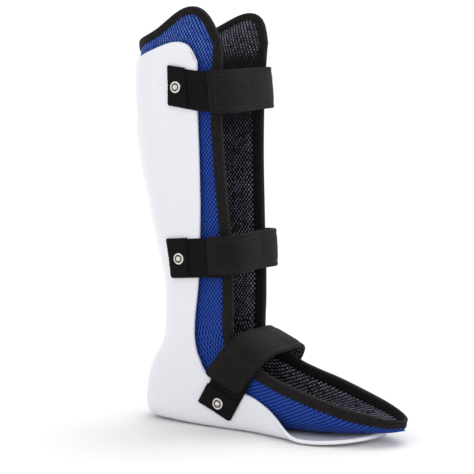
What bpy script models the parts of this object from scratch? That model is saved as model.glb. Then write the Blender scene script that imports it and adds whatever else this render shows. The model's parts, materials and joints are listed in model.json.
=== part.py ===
"""Ankle foot orthosis: a rigid moulded shell, a padded liner that lines it, and three padded straps.

Units are metres. +X points to the toes, +Z is up, and -Y is the side on which the straps open.
The origin is on the floor, on the midline, under the ankle.

Both the shell and the liner are lofts over the same fan of section planes: level planes down the
calf, planes that turn about PIVOT round the heel, and upright planes along the foot. A station is
the distance along that fan, from leg(z) through heel(angle) to foot(x).
"""

import math
from collections import Counter

import bmesh
import bpy
from mathutils import Matrix, Vector
from mathutils.bvhtree import BVHTree

# ---------------------------------------------------------------- driving sizes

GAP = 0.0003                    # between pieces that touch
PIVOT_X = 0.062                 # the section planes turn about this line, parallel to Y
PIVOT_Z = 0.097
METRES_PER_DEGREE = 0.001       # a station's length for each degree of the turn

SHELL_THICKNESS = 0.0035
MESH_THICKNESS = 0.0008
FOAM_THICKNESS = 0.0038
BINDING_THICKNESS = 0.0010
BINDING_WIDTH = 0.0070
BINDING_GAP = 0.0009            # from the liner's faces to the binding's inner face
BINDING_TOE_WIDTH = 0.0035      # the binding narrows to this at the toe's tip
BINDING_TOE_RUN = 0.030
LINER_THIN_START = 0.165        # the liner thins from this x to the toe's tip
LINER_TIP_SHARE = 0.30
BINDING_CORNER = 0.0010         # how far the folded tape's corners are drawn in
HOOK_STRIP_THICKNESS = 0.0009

HOOK_PATCH_WIDTH = 0.032
TAB_THICKNESS = 0.0014
TAB_FOLD_THICKNESS = 0.0008
LINING_THICKNESS = 0.0007
STRAP_FOAM_THICKNESS = 0.0024
COVER_THICKNESS = 0.0008
HOOK_PATCH_THICKNESS = 0.0006
PAD_EDGE = 0.0020               # the foam stops this far inside the strap's edges
FOLD_STEP = 0.0005              # length of the step where the tab's folded end stops

RIVET_SIDES = 12
SHANK_RADIUS = 0.0020
RIVET_HOLE_RADIUS = 0.0025
RING_RADIUS = 0.0056
RING_HEIGHT = 0.0010
HEAD_RADIUS = 0.0036
HEAD_HEIGHT = 0.0014
BURR_RADIUS = 0.0045
BURR_THICKNESS = 0.0008
HOLE_CUTTER_LENGTH = 0.016
SMALL = 0.00002                 # points closer than this are one point


def leg(z):
    """Station of the level section plane at height z."""
    return PIVOT_Z - z


def heel(angle):
    """Station of the section plane that points angle degrees round from the toes' direction."""
    return (angle - 180.0) * METRES_PER_DEGREE


def foot(x):
    """Station of the upright section plane at x."""
    return heel(270.0) + x - PIVOT_X


# Side outlines as (x, z), from the calf's top, round the heel, to the toes.
SHELL_BACK = [
    (-0.0722, 0.362), (-0.0732, 0.338), (-0.0742, 0.310), (-0.0728, 0.283), (-0.0678, 0.245),
    (-0.0616, 0.217), (-0.0565, 0.193), (-0.0494, 0.160), (-0.0440, 0.135), (-0.0424, 0.113),
    (-0.0432, 0.090), (-0.0462, 0.073), (-0.0505, 0.065), (-0.0560, 0.057), (-0.0602, 0.046),
    (-0.0625, 0.033), (-0.0628, 0.018), (-0.0606, 0.008), (-0.0568, 0.0025), (-0.0510, 0.0),
    (0.0, 0.0), (0.062, 0.0), (0.118, 0.0), (0.135, 0.0003), (0.150, 0.0014), (0.165, 0.0032),
    (0.181, 0.0058),
]
SHELL_EDGE = [
    (0.0144, 0.362), (0.0142, 0.320), (0.0140, 0.257), (0.0134, 0.211), (0.0119, 0.179),
    (0.0097, 0.137), (0.0075, 0.119), (0.0052, 0.100), (0.0046, 0.086), (0.0063, 0.072),
    (0.0100, 0.063), (0.0153, 0.054), (0.0200, 0.0488), (0.0300, 0.0420), (0.0430, 0.0386),
    (0.0573, 0.0365), (0.0657, 0.0346), (0.0760, 0.0303), (0.0875, 0.0245), (0.0988, 0.0160),
    (0.1080, 0.0065), (0.1130, 0.0030), (0.1200, 0.0018), (0.1350, 0.0020), (0.1500, 0.0029),
    (0.1650, 0.0044), (0.1810, 0.0058),
]
LINER_BACK = [
    (-0.0710, 0.392), (-0.0700, 0.352), (-0.0685, 0.332), (-0.0688, 0.310), (-0.0674, 0.283),
    (-0.0623, 0.245), (-0.0561, 0.217), (-0.0510, 0.193), (-0.0439, 0.160), (-0.0386, 0.135),
    (-0.0370, 0.113),
    (-0.0377, 0.090), (-0.0398, 0.075), (-0.0432, 0.065), (-0.0480, 0.055), (-0.0528, 0.044),
    (-0.0562, 0.030), (-0.0565, 0.019), (-0.0545, 0.0115), (-0.0505, 0.0068), (-0.0440, 0.0054),
    (0.0, 0.0054), (0.062, 0.0054), (0.118, 0.0056), (0.140, 0.0062), (0.160, 0.0080),
    (0.180, 0.0104), (0.192, 0.0106), (0.2005, 0.0110),
]
LINER_EDGE = [
    (0.0352, 0.392), (0.0348, 0.350), (0.0330, 0.310), (0.0326, 0.288), (0.0336, 0.252),
    (0.0362, 0.205), (0.0384, 0.170), (0.0400, 0.134), (0.0400, 0.112), (0.0394, 0.097),
    (0.0397, 0.088), (0.0424, 0.0785), (0.0490, 0.0700), (0.0590, 0.0638), (0.0690, 0.0590),
    (0.0780, 0.0546), (0.0960, 0.0482), (0.1165, 0.0424), (0.1340, 0.0370), (0.1520, 0.0318),
    (0.1780, 0.0246), (0.1920, 0.0207), (0.2005, 0.0190),
]

# Half widths by station, as (station, half width).
SHELL_HALF_WIDTH = [
    (leg(0.362), 0.0486), (leg(0.338), 0.0480), (leg(0.290), 0.0471), (leg(0.252), 0.0448),
    (leg(0.205), 0.0420), (leg(0.172), 0.0399), (leg(0.140), 0.0391), (leg(0.097), 0.0390),
    (heel(200), 0.0384), (heel(212), 0.0380), (heel(226), 0.0388), (heel(236), 0.0390),
    (foot(0.064), 0.0390), (foot(0.070), 0.0402), (foot(0.080), 0.0424), (foot(0.092), 0.0452),
    (foot(0.104), 0.0495), (foot(0.114), 0.0535), (foot(0.122), 0.0556), (foot(0.181), 0.0556),
]
LINER_HALF_WIDTH = [
    (leg(0.392), 0.0494), (leg(0.372), 0.0472), (leg(0.353), 0.0431), (leg(0.338), 0.0423),
    (leg(0.290), 0.0417), (leg(0.252), 0.0394), (leg(0.205), 0.0366), (leg(0.172), 0.0345),
    (leg(0.140), 0.0337),
    (leg(0.097), 0.0335), (heel(200), 0.0329), (heel(212), 0.0326), (heel(226), 0.0332),
    (heel(236), 0.0335), (heel(262), 0.0338), (foot(0.078), 0.0362), (foot(0.100), 0.0388),
    (foot(0.118), 0.0398), (foot(0.2005), 0.0398),
]
# How far the side wall leans out, as widening for each metre above the corner.
SHELL_FLARE = [(leg(0.362), 0.0), (foot(0.181), 0.0)]
LINER_FLARE = [(leg(0.392), 0.0), (heel(245), 0.0), (foot(0.075), 0.055), (foot(0.110), 0.02),
               (foot(0.150), 0.0), (foot(0.2005), 0.0)]
# Share of the half width that is flat, and the depth of the rounded corner beside it.
SHELL_FLAT = [(leg(0.362), 0.0), (heel(200), 0.0), (heel(209), 0.06), (heel(216), 0.20),
              (heel(223), 0.48), (heel(234), 0.74), (heel(246), 0.82), (foot(0.080), 0.82),
              (foot(0.118), 0.78), (foot(0.181), 0.78)]
SHELL_CORNER = [(leg(0.362), 0.042), (leg(0.300), 0.044), (leg(0.245), 0.041), (leg(0.205), 0.038),
                (leg(0.160), 0.035), (leg(0.097), 0.034), (heel(200), 0.033), (heel(210), 0.028),
                (heel(217), 0.021), (heel(224), 0.013), (heel(236), 0.0085), (foot(0.181), 0.0080)]
LINER_FLAT = [(leg(0.392), 0.0), (heel(200), 0.0), (heel(214), 0.16), (heel(222), 0.35),
              (heel(236), 0.55), (heel(256), 0.60), (foot(0.100), 0.50), (foot(0.130), 0.46),
              (foot(0.2005), 0.46)]
LINER_CORNER = [(leg(0.392), 0.037), (leg(0.300), 0.0386), (leg(0.245), 0.0356),
                (leg(0.205), 0.0326), (leg(0.160), 0.0296), (leg(0.097), 0.0286),
                (heel(200), 0.0280), (heel(212), 0.0230),
                (heel(222), 0.0165), (heel(236), 0.0130), (foot(0.070), 0.0140),
                (foot(0.110), 0.0200), (foot(0.150), 0.0200), (foot(0.2005), 0.0160)]
# Height of the calf's top edge, as (share of the way from the back to the front edge, z), with
# the near side's shares negative.
SHELL_TOP = [(0.0, 0.3355), (0.15, 0.3365), (0.31, 0.3395), (0.50, 0.3450), (0.64, 0.3500),
             (0.72, 0.3530), (0.80, 0.3548), (0.89, 0.3532), (0.95, 0.3500), (0.985, 0.3450),
             (1.0, 0.3360)]
SHELL_TOP = [(-share, z) for share, z in reversed(SHELL_TOP[1:])] + SHELL_TOP
SHELL_TWIST = [(leg(0.362), 0.0), (foot(0.181), 0.0)]
LINER_TOP = [(-1.0, 0.3530), (-0.992, 0.3596), (-0.968, 0.3676), (-0.936, 0.3744),
             (-0.896, 0.3798), (-0.84, 0.3832), (-0.79, 0.3832), (-0.71, 0.3796), (-0.62, 0.3724),
             (-0.50, 0.3636), (-0.395, 0.3592), (-0.28, 0.3566), (-0.20, 0.3538), (-0.10, 0.3512),
             (0.0, 0.3502), (0.10, 0.3508), (0.20, 0.3535), (0.28, 0.3568), (0.395, 0.3606),
             (0.50, 0.3642), (0.62, 0.3706), (0.71, 0.3766), (0.79, 0.3812), (0.84, 0.3828),
             (0.896, 0.3820), (0.936, 0.3784), (0.968, 0.3724), (0.992, 0.3644), (1.0, 0.3560)]
# How far the liner's free front edges are twisted above the shell, as forward shift for each
# metre of y.
LINER_TWIST = [(leg(0.372), 0.052), (leg(0.350), 0.016), (leg(0.320), 0.0)]
TWIST_POWER = 4.0               # the twist grows with this power of the share

# The raised panel that stiffens the back of the calf, and its fainter run down the ankle.
RIB_HEIGHT = [(leg(0.284), 0.0), (leg(0.279), 0.0045), (leg(0.245), 0.0042), (leg(0.200), 0.0034),
              (leg(0.163), 0.0026), (leg(0.150), 0.0009), (leg(0.090), 0.0008), (leg(0.078), 0.0)]
RIB_HALF_WIDTH = 0.0205
RIB_RAMP = 0.0040
RIB_FRONT = -0.025              # nothing in front of this x is pushed out
RIB_SPREAD = 17.0               # sideways push for each metre of y, as a share of the push back

# Rows and columns of the lofts.
SHELL_TOE_START = 0.122
SHELL_TOE = 0.181
LINER_TOE_START = 0.108
LINER_TOE = 0.2005
BLEND_TOP = 0.310               # below this height the rows are level
SHELL_COLUMNS = [0.0, 0.13, 0.19, 0.235, 0.36, 0.50, 0.66, 0.80, 0.91, 0.975, 1.0]
LINER_COLUMNS = [0.0, 0.18, 0.34, 0.50, 0.66, 0.79, 0.89, 0.96, 1.0]
SHELL_ROWS = ([leg(z) for z in (0.310, 0.284, 0.279, 0.250, 0.222, 0.195, 0.163, 0.150, 0.122,
                                0.100)]
              + [heel(a) for a in (186, 191, 196, 202, 209, 216, 221, 228, 240, 255, 270)]
              + [foot(x) for x in (0.078, 0.092, 0.103, 0.112)])
LINER_ROWS = ([leg(z) for z in (0.310, 0.283, 0.256, 0.230, 0.204, 0.178, 0.152, 0.128, 0.108)]
              + [heel(a) for a in (184, 192, 200, 208, 215, 221, 229, 240, 254, 270)]
              + [foot(x) for x in (0.075, 0.090)])
TOP_ROWS = 2                    # rows between the top edge and the first level row
TOE_ROWS = 6
BINDING_BACK_SHARE = 0.66       # inside this share the top edge's binding is folded down its column

# Hook strips on the liner's outer face, as (first row, last row) and (first, last column share).
CALF_STRIP_ROWS = (leg(0.283), leg(0.204))
CALF_STRIP_SHARES = (0.50, 0.79)
SOLE_STRIP_ROWS = (heel(240), foot(0.090))
SOLE_STRIP_SHARE = 0.18

# Straps. A strap's path lies in the plane of forward (distance s) and Y, and across is the
# direction of its width. It leaves the shell's walls at s0 and is furthest forward at front, and
# power sets how square it turns there. The webbing tab, tab_width wide, runs from tab_start to
# tab_tip, and is folded double as far as fold_end. The padded strap runs from pad_start on the
# near side to hinge on the far side. centre and pad_centre are the tabs' and the padding's height
# along rise, by the share of the path from the near rear end to the far one. rivet and
# rivet_wall are a rivet's s and its distance from the midline.
STRAPS = {
    "upper": {
        "forward": Vector((1, 0, 0)), "rise": Vector((0, 0, 1)),
        "across": Vector((-0.09, 0, 0.996)),
        "shell_half_width": 0.0483, "s0": 0.020, "front": 0.0425, "power": 3.6,
        "tab_start": -0.0155, "tab_width": 0.0362, "pad_width": 0.0388,
        "tab_tip": 0.0335, "fold_end": 0.0050, "pad_start": 0.0295,
        "hinge": 0.0350, "rivet": -0.0064, "rivet_wall": 0.0475,
        "centre": [(0.0, 0.3147), (0.22, 0.3092), (0.41, 0.3107), (0.62, 0.3135), (1.0, 0.3165)],
        "pad_centre": [(0.0, 0.3120), (0.22, 0.3089), (0.41, 0.3107), (0.62, 0.3135), (1.0, 0.3165)],
    },
    "middle": {
        "forward": Vector((1, 0, 0)), "rise": Vector((0, 0, 1)),
        "across": Vector((-0.05, 0, 0.9987)),
        "shell_half_width": 0.0408, "s0": 0.024, "front": 0.0500, "power": 4.8,
        "tab_start": -0.0212, "tab_width": 0.0360, "pad_width": 0.0352,
        "tab_tip": 0.0385, "fold_end": 0.0010, "pad_start": 0.0250,
        "hinge": 0.0400, "rivet": -0.0088, "rivet_wall": 0.0393,
        "centre": [(0.0, 0.1553), (0.22, 0.1590), (0.36, 0.1604), (0.68, 0.1628), (1.0, 0.1615)],
        "pad_centre": [(0.0, 0.1608), (0.23, 0.1614), (0.50, 0.1643), (0.68, 0.1631), (1.0, 0.1615)],
    },
    "instep": {
        "forward": Vector((0.476, 0, 0.880)), "rise": Vector((-0.915, 0, 0.403)),
        "across": Vector((-0.915, 0, 0.403)),
        "shell_half_width": 0.0390, "s0": 0.068, "front": 0.1000, "power": 3.8,
        "tab_start": 0.0265, "tab_width": 0.0360, "pad_width": 0.0390,
        "tab_tip": 0.0660, "fold_end": 0.0480, "pad_start": 0.0560,
        "hinge": 0.0680, "rivet": 0.0360, "rivet_wall": 0.0390,
        "centre": [(0.0, -0.0166), (0.30, -0.0182), (0.50, -0.0190), (0.70, -0.0186),
                   (1.0, -0.0166)],
        "pad_centre": [(0.0, -0.0110), (0.16, -0.0130), (0.31, -0.0180), (0.50, -0.0202),
                       (0.75, -0.0186), (1.0, -0.0166)],
    },
}

SIDES = (("near", -1), ("far", 1))

COLOURS = {
    "shell": ((0.86, 0.87, 0.90), 0.30, 0.0),
    "blue_mesh": ((0.02, 0.07, 0.42), 0.75, 0.0),
    "black_mesh": ((0.020, 0.018, 0.022), 0.80, 0.0),
    "foam": ((0.12, 0.12, 0.13), 0.90, 0.0),
    "binding": ((0.018, 0.016, 0.014), 0.70, 0.0),
    "webbing": ((0.010, 0.010, 0.011), 0.75, 0.0),
    "strap": ((0.022, 0.021, 0.022), 0.60, 0.0),
    "hook": ((0.030, 0.030, 0.032), 0.85, 0.0),
    "nickel": ((0.80, 0.79, 0.77), 0.18, 1.0),
}


# ---------------------------------------------------------------- curves

def monotone(knots):
    """A smooth curve through (x, y) knots that never overshoots them."""
    xs = [k[0] for k in knots]
    ys = [k[1] for k in knots]
    slopes = [(ys[i + 1] - ys[i]) / (xs[i + 1] - xs[i]) for i in range(len(xs) - 1)]
    tangents = [slopes[0]]
    for before, after in zip(slopes, slopes[1:]):
        same_way = before * after > 0
        tangents.append(2 * before * after / (before + after) if same_way else 0.0)
    tangents.append(slopes[-1])

    def value(x):
        if x <= xs[0]:
            return ys[0]
        if x >= xs[-1]:
            return ys[-1]
        i = max(j for j in range(len(xs) - 1) if xs[j] <= x)
        span = xs[i + 1] - xs[i]
        t = (x - xs[i]) / span
        return ((2 * t**3 - 3 * t**2 + 1) * ys[i] + (t**3 - 2 * t**2 + t) * span * tangents[i]
                + (3 * t**2 - 2 * t**3) * ys[i + 1] + (t**3 - t**2) * span * tangents[i + 1])

    return value


def fine_outline(points, steps=10):
    """The (x, z) points of a side outline, joined by a smooth curve with steps points a stretch."""
    along = [0.0]
    for (x0, z0), (x1, z1) in zip(points, points[1:]):
        along.append(along[-1] + math.hypot(x1 - x0, z1 - z0))
    curve_x = monotone([(s, p[0]) for s, p in zip(along, points)])
    curve_z = monotone([(s, p[1]) for s, p in zip(along, points)])
    fine = []
    for start, end in zip(along, along[1:]):
        for k in range(steps):
            s = start + (end - start) * k / steps
            fine.append((curve_x(s), curve_z(s)))
    fine.append(points[-1])
    return fine


def plane_at(station):
    """Origin and direction, in (x, z), of the section plane at a station."""
    if station <= 0:
        return (PIVOT_X, PIVOT_Z - station), (-1.0, 0.0)
    if station >= heel(270.0):
        return (PIVOT_X + station - heel(270.0), PIVOT_Z), (0.0, -1.0)
    angle = math.radians(180.0 + station / METRES_PER_DEGREE)
    return (PIVOT_X, PIVOT_Z), (math.cos(angle), math.sin(angle))


def reach(outline, station):
    """Distance from the plane's origin to where the plane meets an outline."""
    (ox, oz), (ex, ez) = plane_at(station)
    best = None
    for (x0, z0), (x1, z1) in zip(outline, outline[1:]):
        side0 = ex * (z0 - oz) - ez * (x0 - ox)
        side1 = ex * (z1 - oz) - ez * (x1 - ox)
        if side0 * side1 > 0 or side0 == side1:
            continue
        t = side0 / (side0 - side1)
        distance = ex * (x0 + (x1 - x0) * t - ox) + ez * (z0 + (z1 - z0) * t - oz)
        if distance > 0 and (best is None or distance < best):
            best = distance
    if best is None:
        last = outline[-1]
        best = ex * (last[0] - ox) + ez * (last[1] - oz)
    return best


# ---------------------------------------------------------------- lofts

class Body:
    """A lofted shoe shape: where its back, edge, sides and corners are at every station."""

    def __init__(self, back, edge, half_width, flare, flat, corner, top, twist, toe_start, toe):
        self.back = fine_outline(back)
        self.edge = fine_outline(edge)
        self.half_width = monotone(half_width)
        self.flare = monotone(flare)
        self.flat = monotone(flat)
        self.corner = monotone(corner)
        self.top = monotone(top)
        self.twist = monotone(twist)
        self.toe_start = toe_start
        self.toe = toe

    def toe_share(self, station):
        """1 behind the toe's start, falling along an ellipse to 0 at the toe's tip."""
        x = PIVOT_X + station - heel(270.0)
        if x <= self.toe_start:
            return 1.0
        return math.sqrt(max(0.0, 1 - ((x - self.toe_start) / (self.toe - self.toe_start)) ** 2))

    def section(self, station, steps=16):
        """Half of the U section as (height above the back, y), from the middle to the edge."""
        height = reach(self.back, station) - reach(self.edge, station)
        half = self.half_width(station)
        flat = half * self.flat(station)
        corner = self.corner(station)
        narrowing = self.toe_share(station)
        turn = math.acos(max(0.0, 1 - height / corner))
        outline = [(0.0, 0.0), (0.0, flat)] if flat > 0 else [(0.0, 0.0)]
        for k in range(1, steps + 1):
            angle = turn * k / steps
            outline.append((corner * (1 - math.cos(angle)), flat + (half - flat) * math.sin(angle)))
        if height > corner:
            rise = height - corner
            outline.append((height, half + rise * self.flare(station)))
        return [(h, y * narrowing) for h, y in outline]

    def point(self, station, share):
        """Point of the outer face: share is 0 at the back's middle and 1 or -1 at the edges."""
        outline = self.section(station)
        lengths = [0.0]
        for (h0, y0), (h1, y1) in zip(outline, outline[1:]):
            lengths.append(lengths[-1] + math.hypot(h1 - h0, y1 - y0))
        goal = abs(share) * lengths[-1]
        i = 0
        while i < len(lengths) - 2 and lengths[i + 1] < goal:
            i += 1
        span = lengths[i + 1] - lengths[i]
        t = (goal - lengths[i]) / span if span > 0 else 0.0
        h = outline[i][0] + (outline[i + 1][0] - outline[i][0]) * t
        y = outline[i][1] + (outline[i + 1][1] - outline[i][1]) * t
        (ox, oz), (ex, ez) = plane_at(station)
        distance = reach(self.back, station) - h
        y = math.copysign(y, share)
        shift = y * self.twist(station) * abs(share) ** TWIST_POWER
        return Vector((ox + ex * distance + shift, y, oz + ez * distance))

    def grid(self, rows, columns):
        """Rows of points, from the calf's top edge to the tip of the toe."""
        shares = [-c for c in reversed(columns[1:])] + columns
        points = []
        for k in range(TOP_ROWS):
            blend = k / TOP_ROWS
            row = []
            for share in shares:
                z = self.top(share) * (1 - blend) + BLEND_TOP * blend
                row.append(self.point(leg(z), share))
            points.append(row)
        toe_stations = []
        for k in range(TOE_ROWS + 1):
            reach_x = math.sin(math.pi / 2 * k / TOE_ROWS)
            toe_stations.append(foot(self.toe_start + (self.toe - self.toe_start) * reach_x))
        for station in list(rows) + toe_stations:
            points.append([self.point(station, share) for share in shares])
        return points


def add_rib(points):
    """Push the back of the shell out into its stiffening panel."""
    height = monotone(RIB_HEIGHT)
    for row in points:
        for point in row:
            if point.x > RIB_FRONT:
                continue
            across = min(1.0, max(0.0, (RIB_HALF_WIDTH + RIB_RAMP - abs(point.y)) / RIB_RAMP))
            lift = height(leg(point.z)) * across
            point += Vector((-lift, -lift * point.y * RIB_SPREAD, 0.0))


def settle(points):
    """Put the sole exactly on the floor where the loft brings it there."""
    for row in points:
        for point in row:
            if point.z < SMALL:
                point.z = 0.0


# ---------------------------------------------------------------- meshes

def make_material(name):
    """A plain material from COLOURS: its colour, roughness and metallic value."""
    colour, roughness, metallic = COLOURS[name]
    material = bpy.data.materials.new(name)
    material.use_nodes = True
    shader = material.node_tree.nodes["Principled BSDF"]
    shader.inputs["Base Color"].default_value = (*colour, 1.0)
    shader.inputs["Roughness"].default_value = roughness
    shader.inputs["Metallic"].default_value = metallic
    material.diffuse_color = (*colour, 1.0)
    return material


def add_object(name, mesh, material, collection):
    """A smooth shaded object over a mesh, in its own material."""
    for polygon in mesh.polygons:
        polygon.use_smooth = True
    mesh.materials.append(make_material(material))
    new = bpy.data.objects.new(name, mesh)
    collection.objects.link(new)
    return new


def sheet_mesh(name, points):
    """An open mesh over a grid of points, welded where the toe closes."""
    shape = bmesh.new()
    rows = [[shape.verts.new(point) for point in row] for row in points]
    for upper, lower in zip(rows, rows[1:]):
        for k in range(len(upper) - 1):
            shape.faces.new((upper[k], upper[k + 1], lower[k + 1], lower[k]))
    bmesh.ops.remove_doubles(shape, verts=shape.verts, dist=SMALL)
    bmesh.ops.triangulate(shape, faces=shape.faces)
    mesh = bpy.data.meshes.new(name)
    shape.to_mesh(mesh)
    shape.free()
    return mesh


def moulding(name, points, thickness, material, collection):
    """A shell whose outer face is the grid."""
    piece = add_object(name, sheet_mesh(name, points), material, collection)
    solidify = piece.modifiers.new("thickness", "SOLIDIFY")
    solidify.thickness = thickness
    solidify.offset = -1.0
    solidify.use_even_offset = True
    return piece


def toe_thinning(x):
    """Share of its full thickness that the liner keeps at x, as it thins into the tip of the toe."""
    share = min(1.0, max(0.0, (x - LINER_THIN_START) / (LINER_TOE - LINER_THIN_START)))
    return 1.0 - (1.0 - LINER_TIP_SHARE) * share


def layer(name, points, inset, thickness, material, collection):
    """A closed sheet between two depths inside the grid, so that stacked layers stay parallel."""
    guide = sheet_mesh(name, points)
    shape = bmesh.new()
    outer = []
    inner = []
    for vertex in guide.vertices:
        inward = vertex.normal * -toe_thinning(vertex.co.x)
        outer.append(shape.verts.new(vertex.co + inward * inset))
        inner.append(shape.verts.new(vertex.co + inward * (inset + thickness)))
    for polygon in guide.polygons:
        corners = list(polygon.vertices)
        shape.faces.new([outer[c] for c in corners])
        shape.faces.new([inner[c] for c in reversed(corners)])
    open_edges = Counter()
    for polygon in guide.polygons:
        open_edges.update(polygon.edge_keys)
    for (first, second), uses in open_edges.items():
        if uses == 1:
            shape.faces.new((outer[first], outer[second], inner[second], inner[first]))
    bmesh.ops.recalc_face_normals(shape, faces=shape.faces)
    shape.to_mesh(guide)
    shape.free()
    return add_object(name, guide, material, collection)


def standing(place, outward):
    """A frame at place whose Z axis points outward."""
    return Matrix.Translation(place) @ outward.to_track_quat("Z", "X").to_matrix().to_4x4()


def closed_loft(name, rings, material, collection, closed=False):
    """A solid through rings of points; closed joins the last ring to the first."""
    shape = bmesh.new()
    loops = [[shape.verts.new(point) for point in ring] for ring in rings]
    pairs = list(zip(loops, loops[1:]))
    if closed:
        pairs.append((loops[-1], loops[0]))
    count = len(rings[0])
    for first, second in pairs:
        for k in range(count):
            shape.faces.new((first[k], first[(k + 1) % count], second[(k + 1) % count], second[k]))
    if not closed:
        shape.faces.new(reversed(loops[0]))
        shape.faces.new(loops[-1])
    bmesh.ops.recalc_face_normals(shape, faces=shape.faces)
    mesh = bpy.data.meshes.new(name)
    shape.to_mesh(mesh)
    shape.free()
    return add_object(name, mesh, material, collection)


def turned(name, profile, place, outward, material, collection):
    """A round piece: profile is (radius, height) from its top's middle down its outer side."""
    mesh = bpy.data.meshes.new(name)
    edges = [(k, k + 1) for k in range(len(profile) - 1)]
    if profile[0][0] > 0:
        edges.append((len(profile) - 1, 0))
    mesh.from_pydata([(radius, 0.0, height) for radius, height in profile], edges, [])
    piece = add_object(name, mesh, material, collection)
    screw = piece.modifiers.new("turn", "SCREW")
    screw.steps = RIVET_SIDES
    screw.render_steps = RIVET_SIDES
    screw.use_merge_vertices = True
    screw.merge_threshold = SMALL
    piece.matrix_world = standing(place, outward)
    return piece


def cut(target, cutter):
    """Take a cutter's shape out of a piece."""
    boolean = target.modifiers.new("hole", "BOOLEAN")
    boolean.operation = "DIFFERENCE"
    boolean.solver = "EXACT"
    boolean.object = cutter


def hole_cutter(name, place, outward, collection):
    """A hidden cylinder that makes a rivet's hole."""
    bpy.ops.mesh.primitive_cylinder_add(vertices=RIVET_SIDES, radius=RIVET_HOLE_RADIUS,
                                        depth=HOLE_CUTTER_LENGTH)
    cutter = bpy.context.active_object
    cutter.name = name
    cutter.matrix_world = standing(place, outward)
    for owner in list(cutter.users_collection):
        owner.objects.unlink(cutter)
    collection.objects.link(cutter)
    cutter.hide_render = True
    cutter.display_type = "WIRE"
    return cutter


# ---------------------------------------------------------------- liner binding and hook strips

def edge_loop(points):
    """The grid's whole border, down one edge, round the toe, up the other and over the top.

    Each entry is a point and the way down its column, which is None away from the back's top edge.
    """
    sides = [row[-1] for row in points] + [row[0] for row in reversed(points[:-1])]
    loop = [(point, None) for point in sides]
    count = len(points[0])
    back = LINER_COLUMNS.index(BINDING_BACK_SHARE)
    for k in range(1, count - 1):
        below = points[1][k] - points[0][k] if abs(k - count // 2) <= back else None
        loop.append((points[0][k], below))
    return loop


def binding_rings(points):
    """Rings of the folded tape that wraps the liner's whole edge."""
    guide = sheet_mesh("guide", points)
    tree = BVHTree.FromPolygons([v.co for v in guide.vertices], [p.vertices for p in guide.polygons])
    corner_normals = {tuple(round(c, 5) for c in v.co): v.normal.copy() for v in guide.vertices}
    bpy.data.meshes.remove(guide)
    loop = edge_loop(points)
    total = 2 * MESH_THICKNESS + FOAM_THICKNESS + 2 * GAP
    inner = BINDING_GAP
    outer = BINDING_GAP + BINDING_THICKNESS
    rings = []
    for k, (place, below) in enumerate(loop):
        tangent = (loop[(k + 1) % len(loop)][0] - loop[k - 1][0]).normalized()
        normal = corner_normals[tuple(round(c, 5) for c in place)]
        normal = (normal - tangent * normal.dot(tangent)).normalized()
        inward = below.normalized() if below else normal.cross(tangent).normalized()
        depth = total * toe_thinning(place.x)
        toe_share = min(1.0, max(0.0, (LINER_TOE - place.x) / BINDING_TOE_RUN))
        width = BINDING_TOE_WIDTH + (BINDING_WIDTH - BINDING_TOE_WIDTH) * toe_share
        stops = []
        for share in (1.0, 0.5):
            surface, face_normal, _, _ = tree.find_nearest(place + inward * width * share)
            stops.append((surface, face_normal))
        stops.append((place, normal))
        ring = [spot + out * inner for spot, out in stops[:1]]
        ring += [spot + out * outer for spot, out in stops]
        ring += [place - inward * outer + normal * (inner - BINDING_CORNER),
                 place - inward * outer - normal * (depth + inner - BINDING_CORNER)]
        ring += [spot - out * (depth + outer) for spot, out in reversed(stops)]
        ring += [spot - out * (depth + inner) for spot, out in stops[:2]]
        ring += [place - inward * inner - normal * (depth + inner),
                 place - inward * inner + normal * inner]
        ring += [stops[1][0] + stops[1][1] * inner]
        rings.append(ring)
    return rings


def patch(points, rows, columns):
    """The part of a grid between two rows and two columns."""
    return [row[columns[0]:columns[1] + 1] for row in points[rows[0]:rows[1] + 1]]


# ---------------------------------------------------------------- straps

def wrap_curve(strap):
    """The inner face of the strap's padding, as (s, y) from the near rear end to the far one."""
    half = strap["shell_half_width"] + PAD_INNER
    depth = strap["front"] - strap["s0"]
    power = 2.0 / strap["power"]
    start = strap["tab_start"]
    steps = 8
    curve = [(start + (strap["s0"] - start) * k / steps, -half) for k in range(steps)]
    arc_steps = 32
    for k in range(arc_steps + 1):
        angle = math.pi * k / arc_steps - math.pi / 2
        along = depth * abs(math.cos(angle)) ** power
        sideways = half * math.copysign(abs(math.sin(angle)) ** power, angle)
        curve.append((strap["s0"] + along, sideways))
    curve += [(s, -y) for s, y in reversed(curve[:steps])]
    return curve


def strap_path(strap, first, last, count, line="centre"):
    """Points and outward normals between two stops; a stop is (side, s) with side -1 near, 1 far."""
    curve = wrap_curve(strap)
    lengths = [0.0]
    for (s0, y0), (s1, y1) in zip(curve, curve[1:]):
        lengths.append(lengths[-1] + math.hypot(s1 - s0, y1 - y0))
    total = lengths[-1]

    def length_at(stop):
        side, s_goal = stop
        order = range(len(curve) - 1) if side < 0 else range(len(curve) - 2, -1, -1)
        for i in order:
            low, high = sorted((curve[i][0], curve[i + 1][0]))
            if low <= s_goal <= high and high > low:
                t = (s_goal - curve[i][0]) / (curve[i + 1][0] - curve[i][0])
                return lengths[i] + (lengths[i + 1] - lengths[i]) * t
        raise ValueError("the strap does not reach that far")

    begin = length_at(first)
    end = length_at(last)
    centre = monotone(strap[line])
    path = []
    for k in range(count + 1):
        goal = begin + (end - begin) * k / count
        i = 0
        while i < len(lengths) - 2 and lengths[i + 1] < goal:
            i += 1
        t = (goal - lengths[i]) / (lengths[i + 1] - lengths[i])
        s = curve[i][0] + (curve[i + 1][0] - curve[i][0]) * t
        y = curve[i][1] + (curve[i + 1][1] - curve[i][1]) * t
        here = max(1, min(len(curve) - 2, i + (1 if t > 0.5 else 0)))
        ds = curve[here + 1][0] - curve[here - 1][0]
        dy = curve[here + 1][1] - curve[here - 1][1]
        size = math.hypot(ds, dy)
        path.append((s, y, dy / size, -ds / size, centre(goal / total)))
    return path


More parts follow.
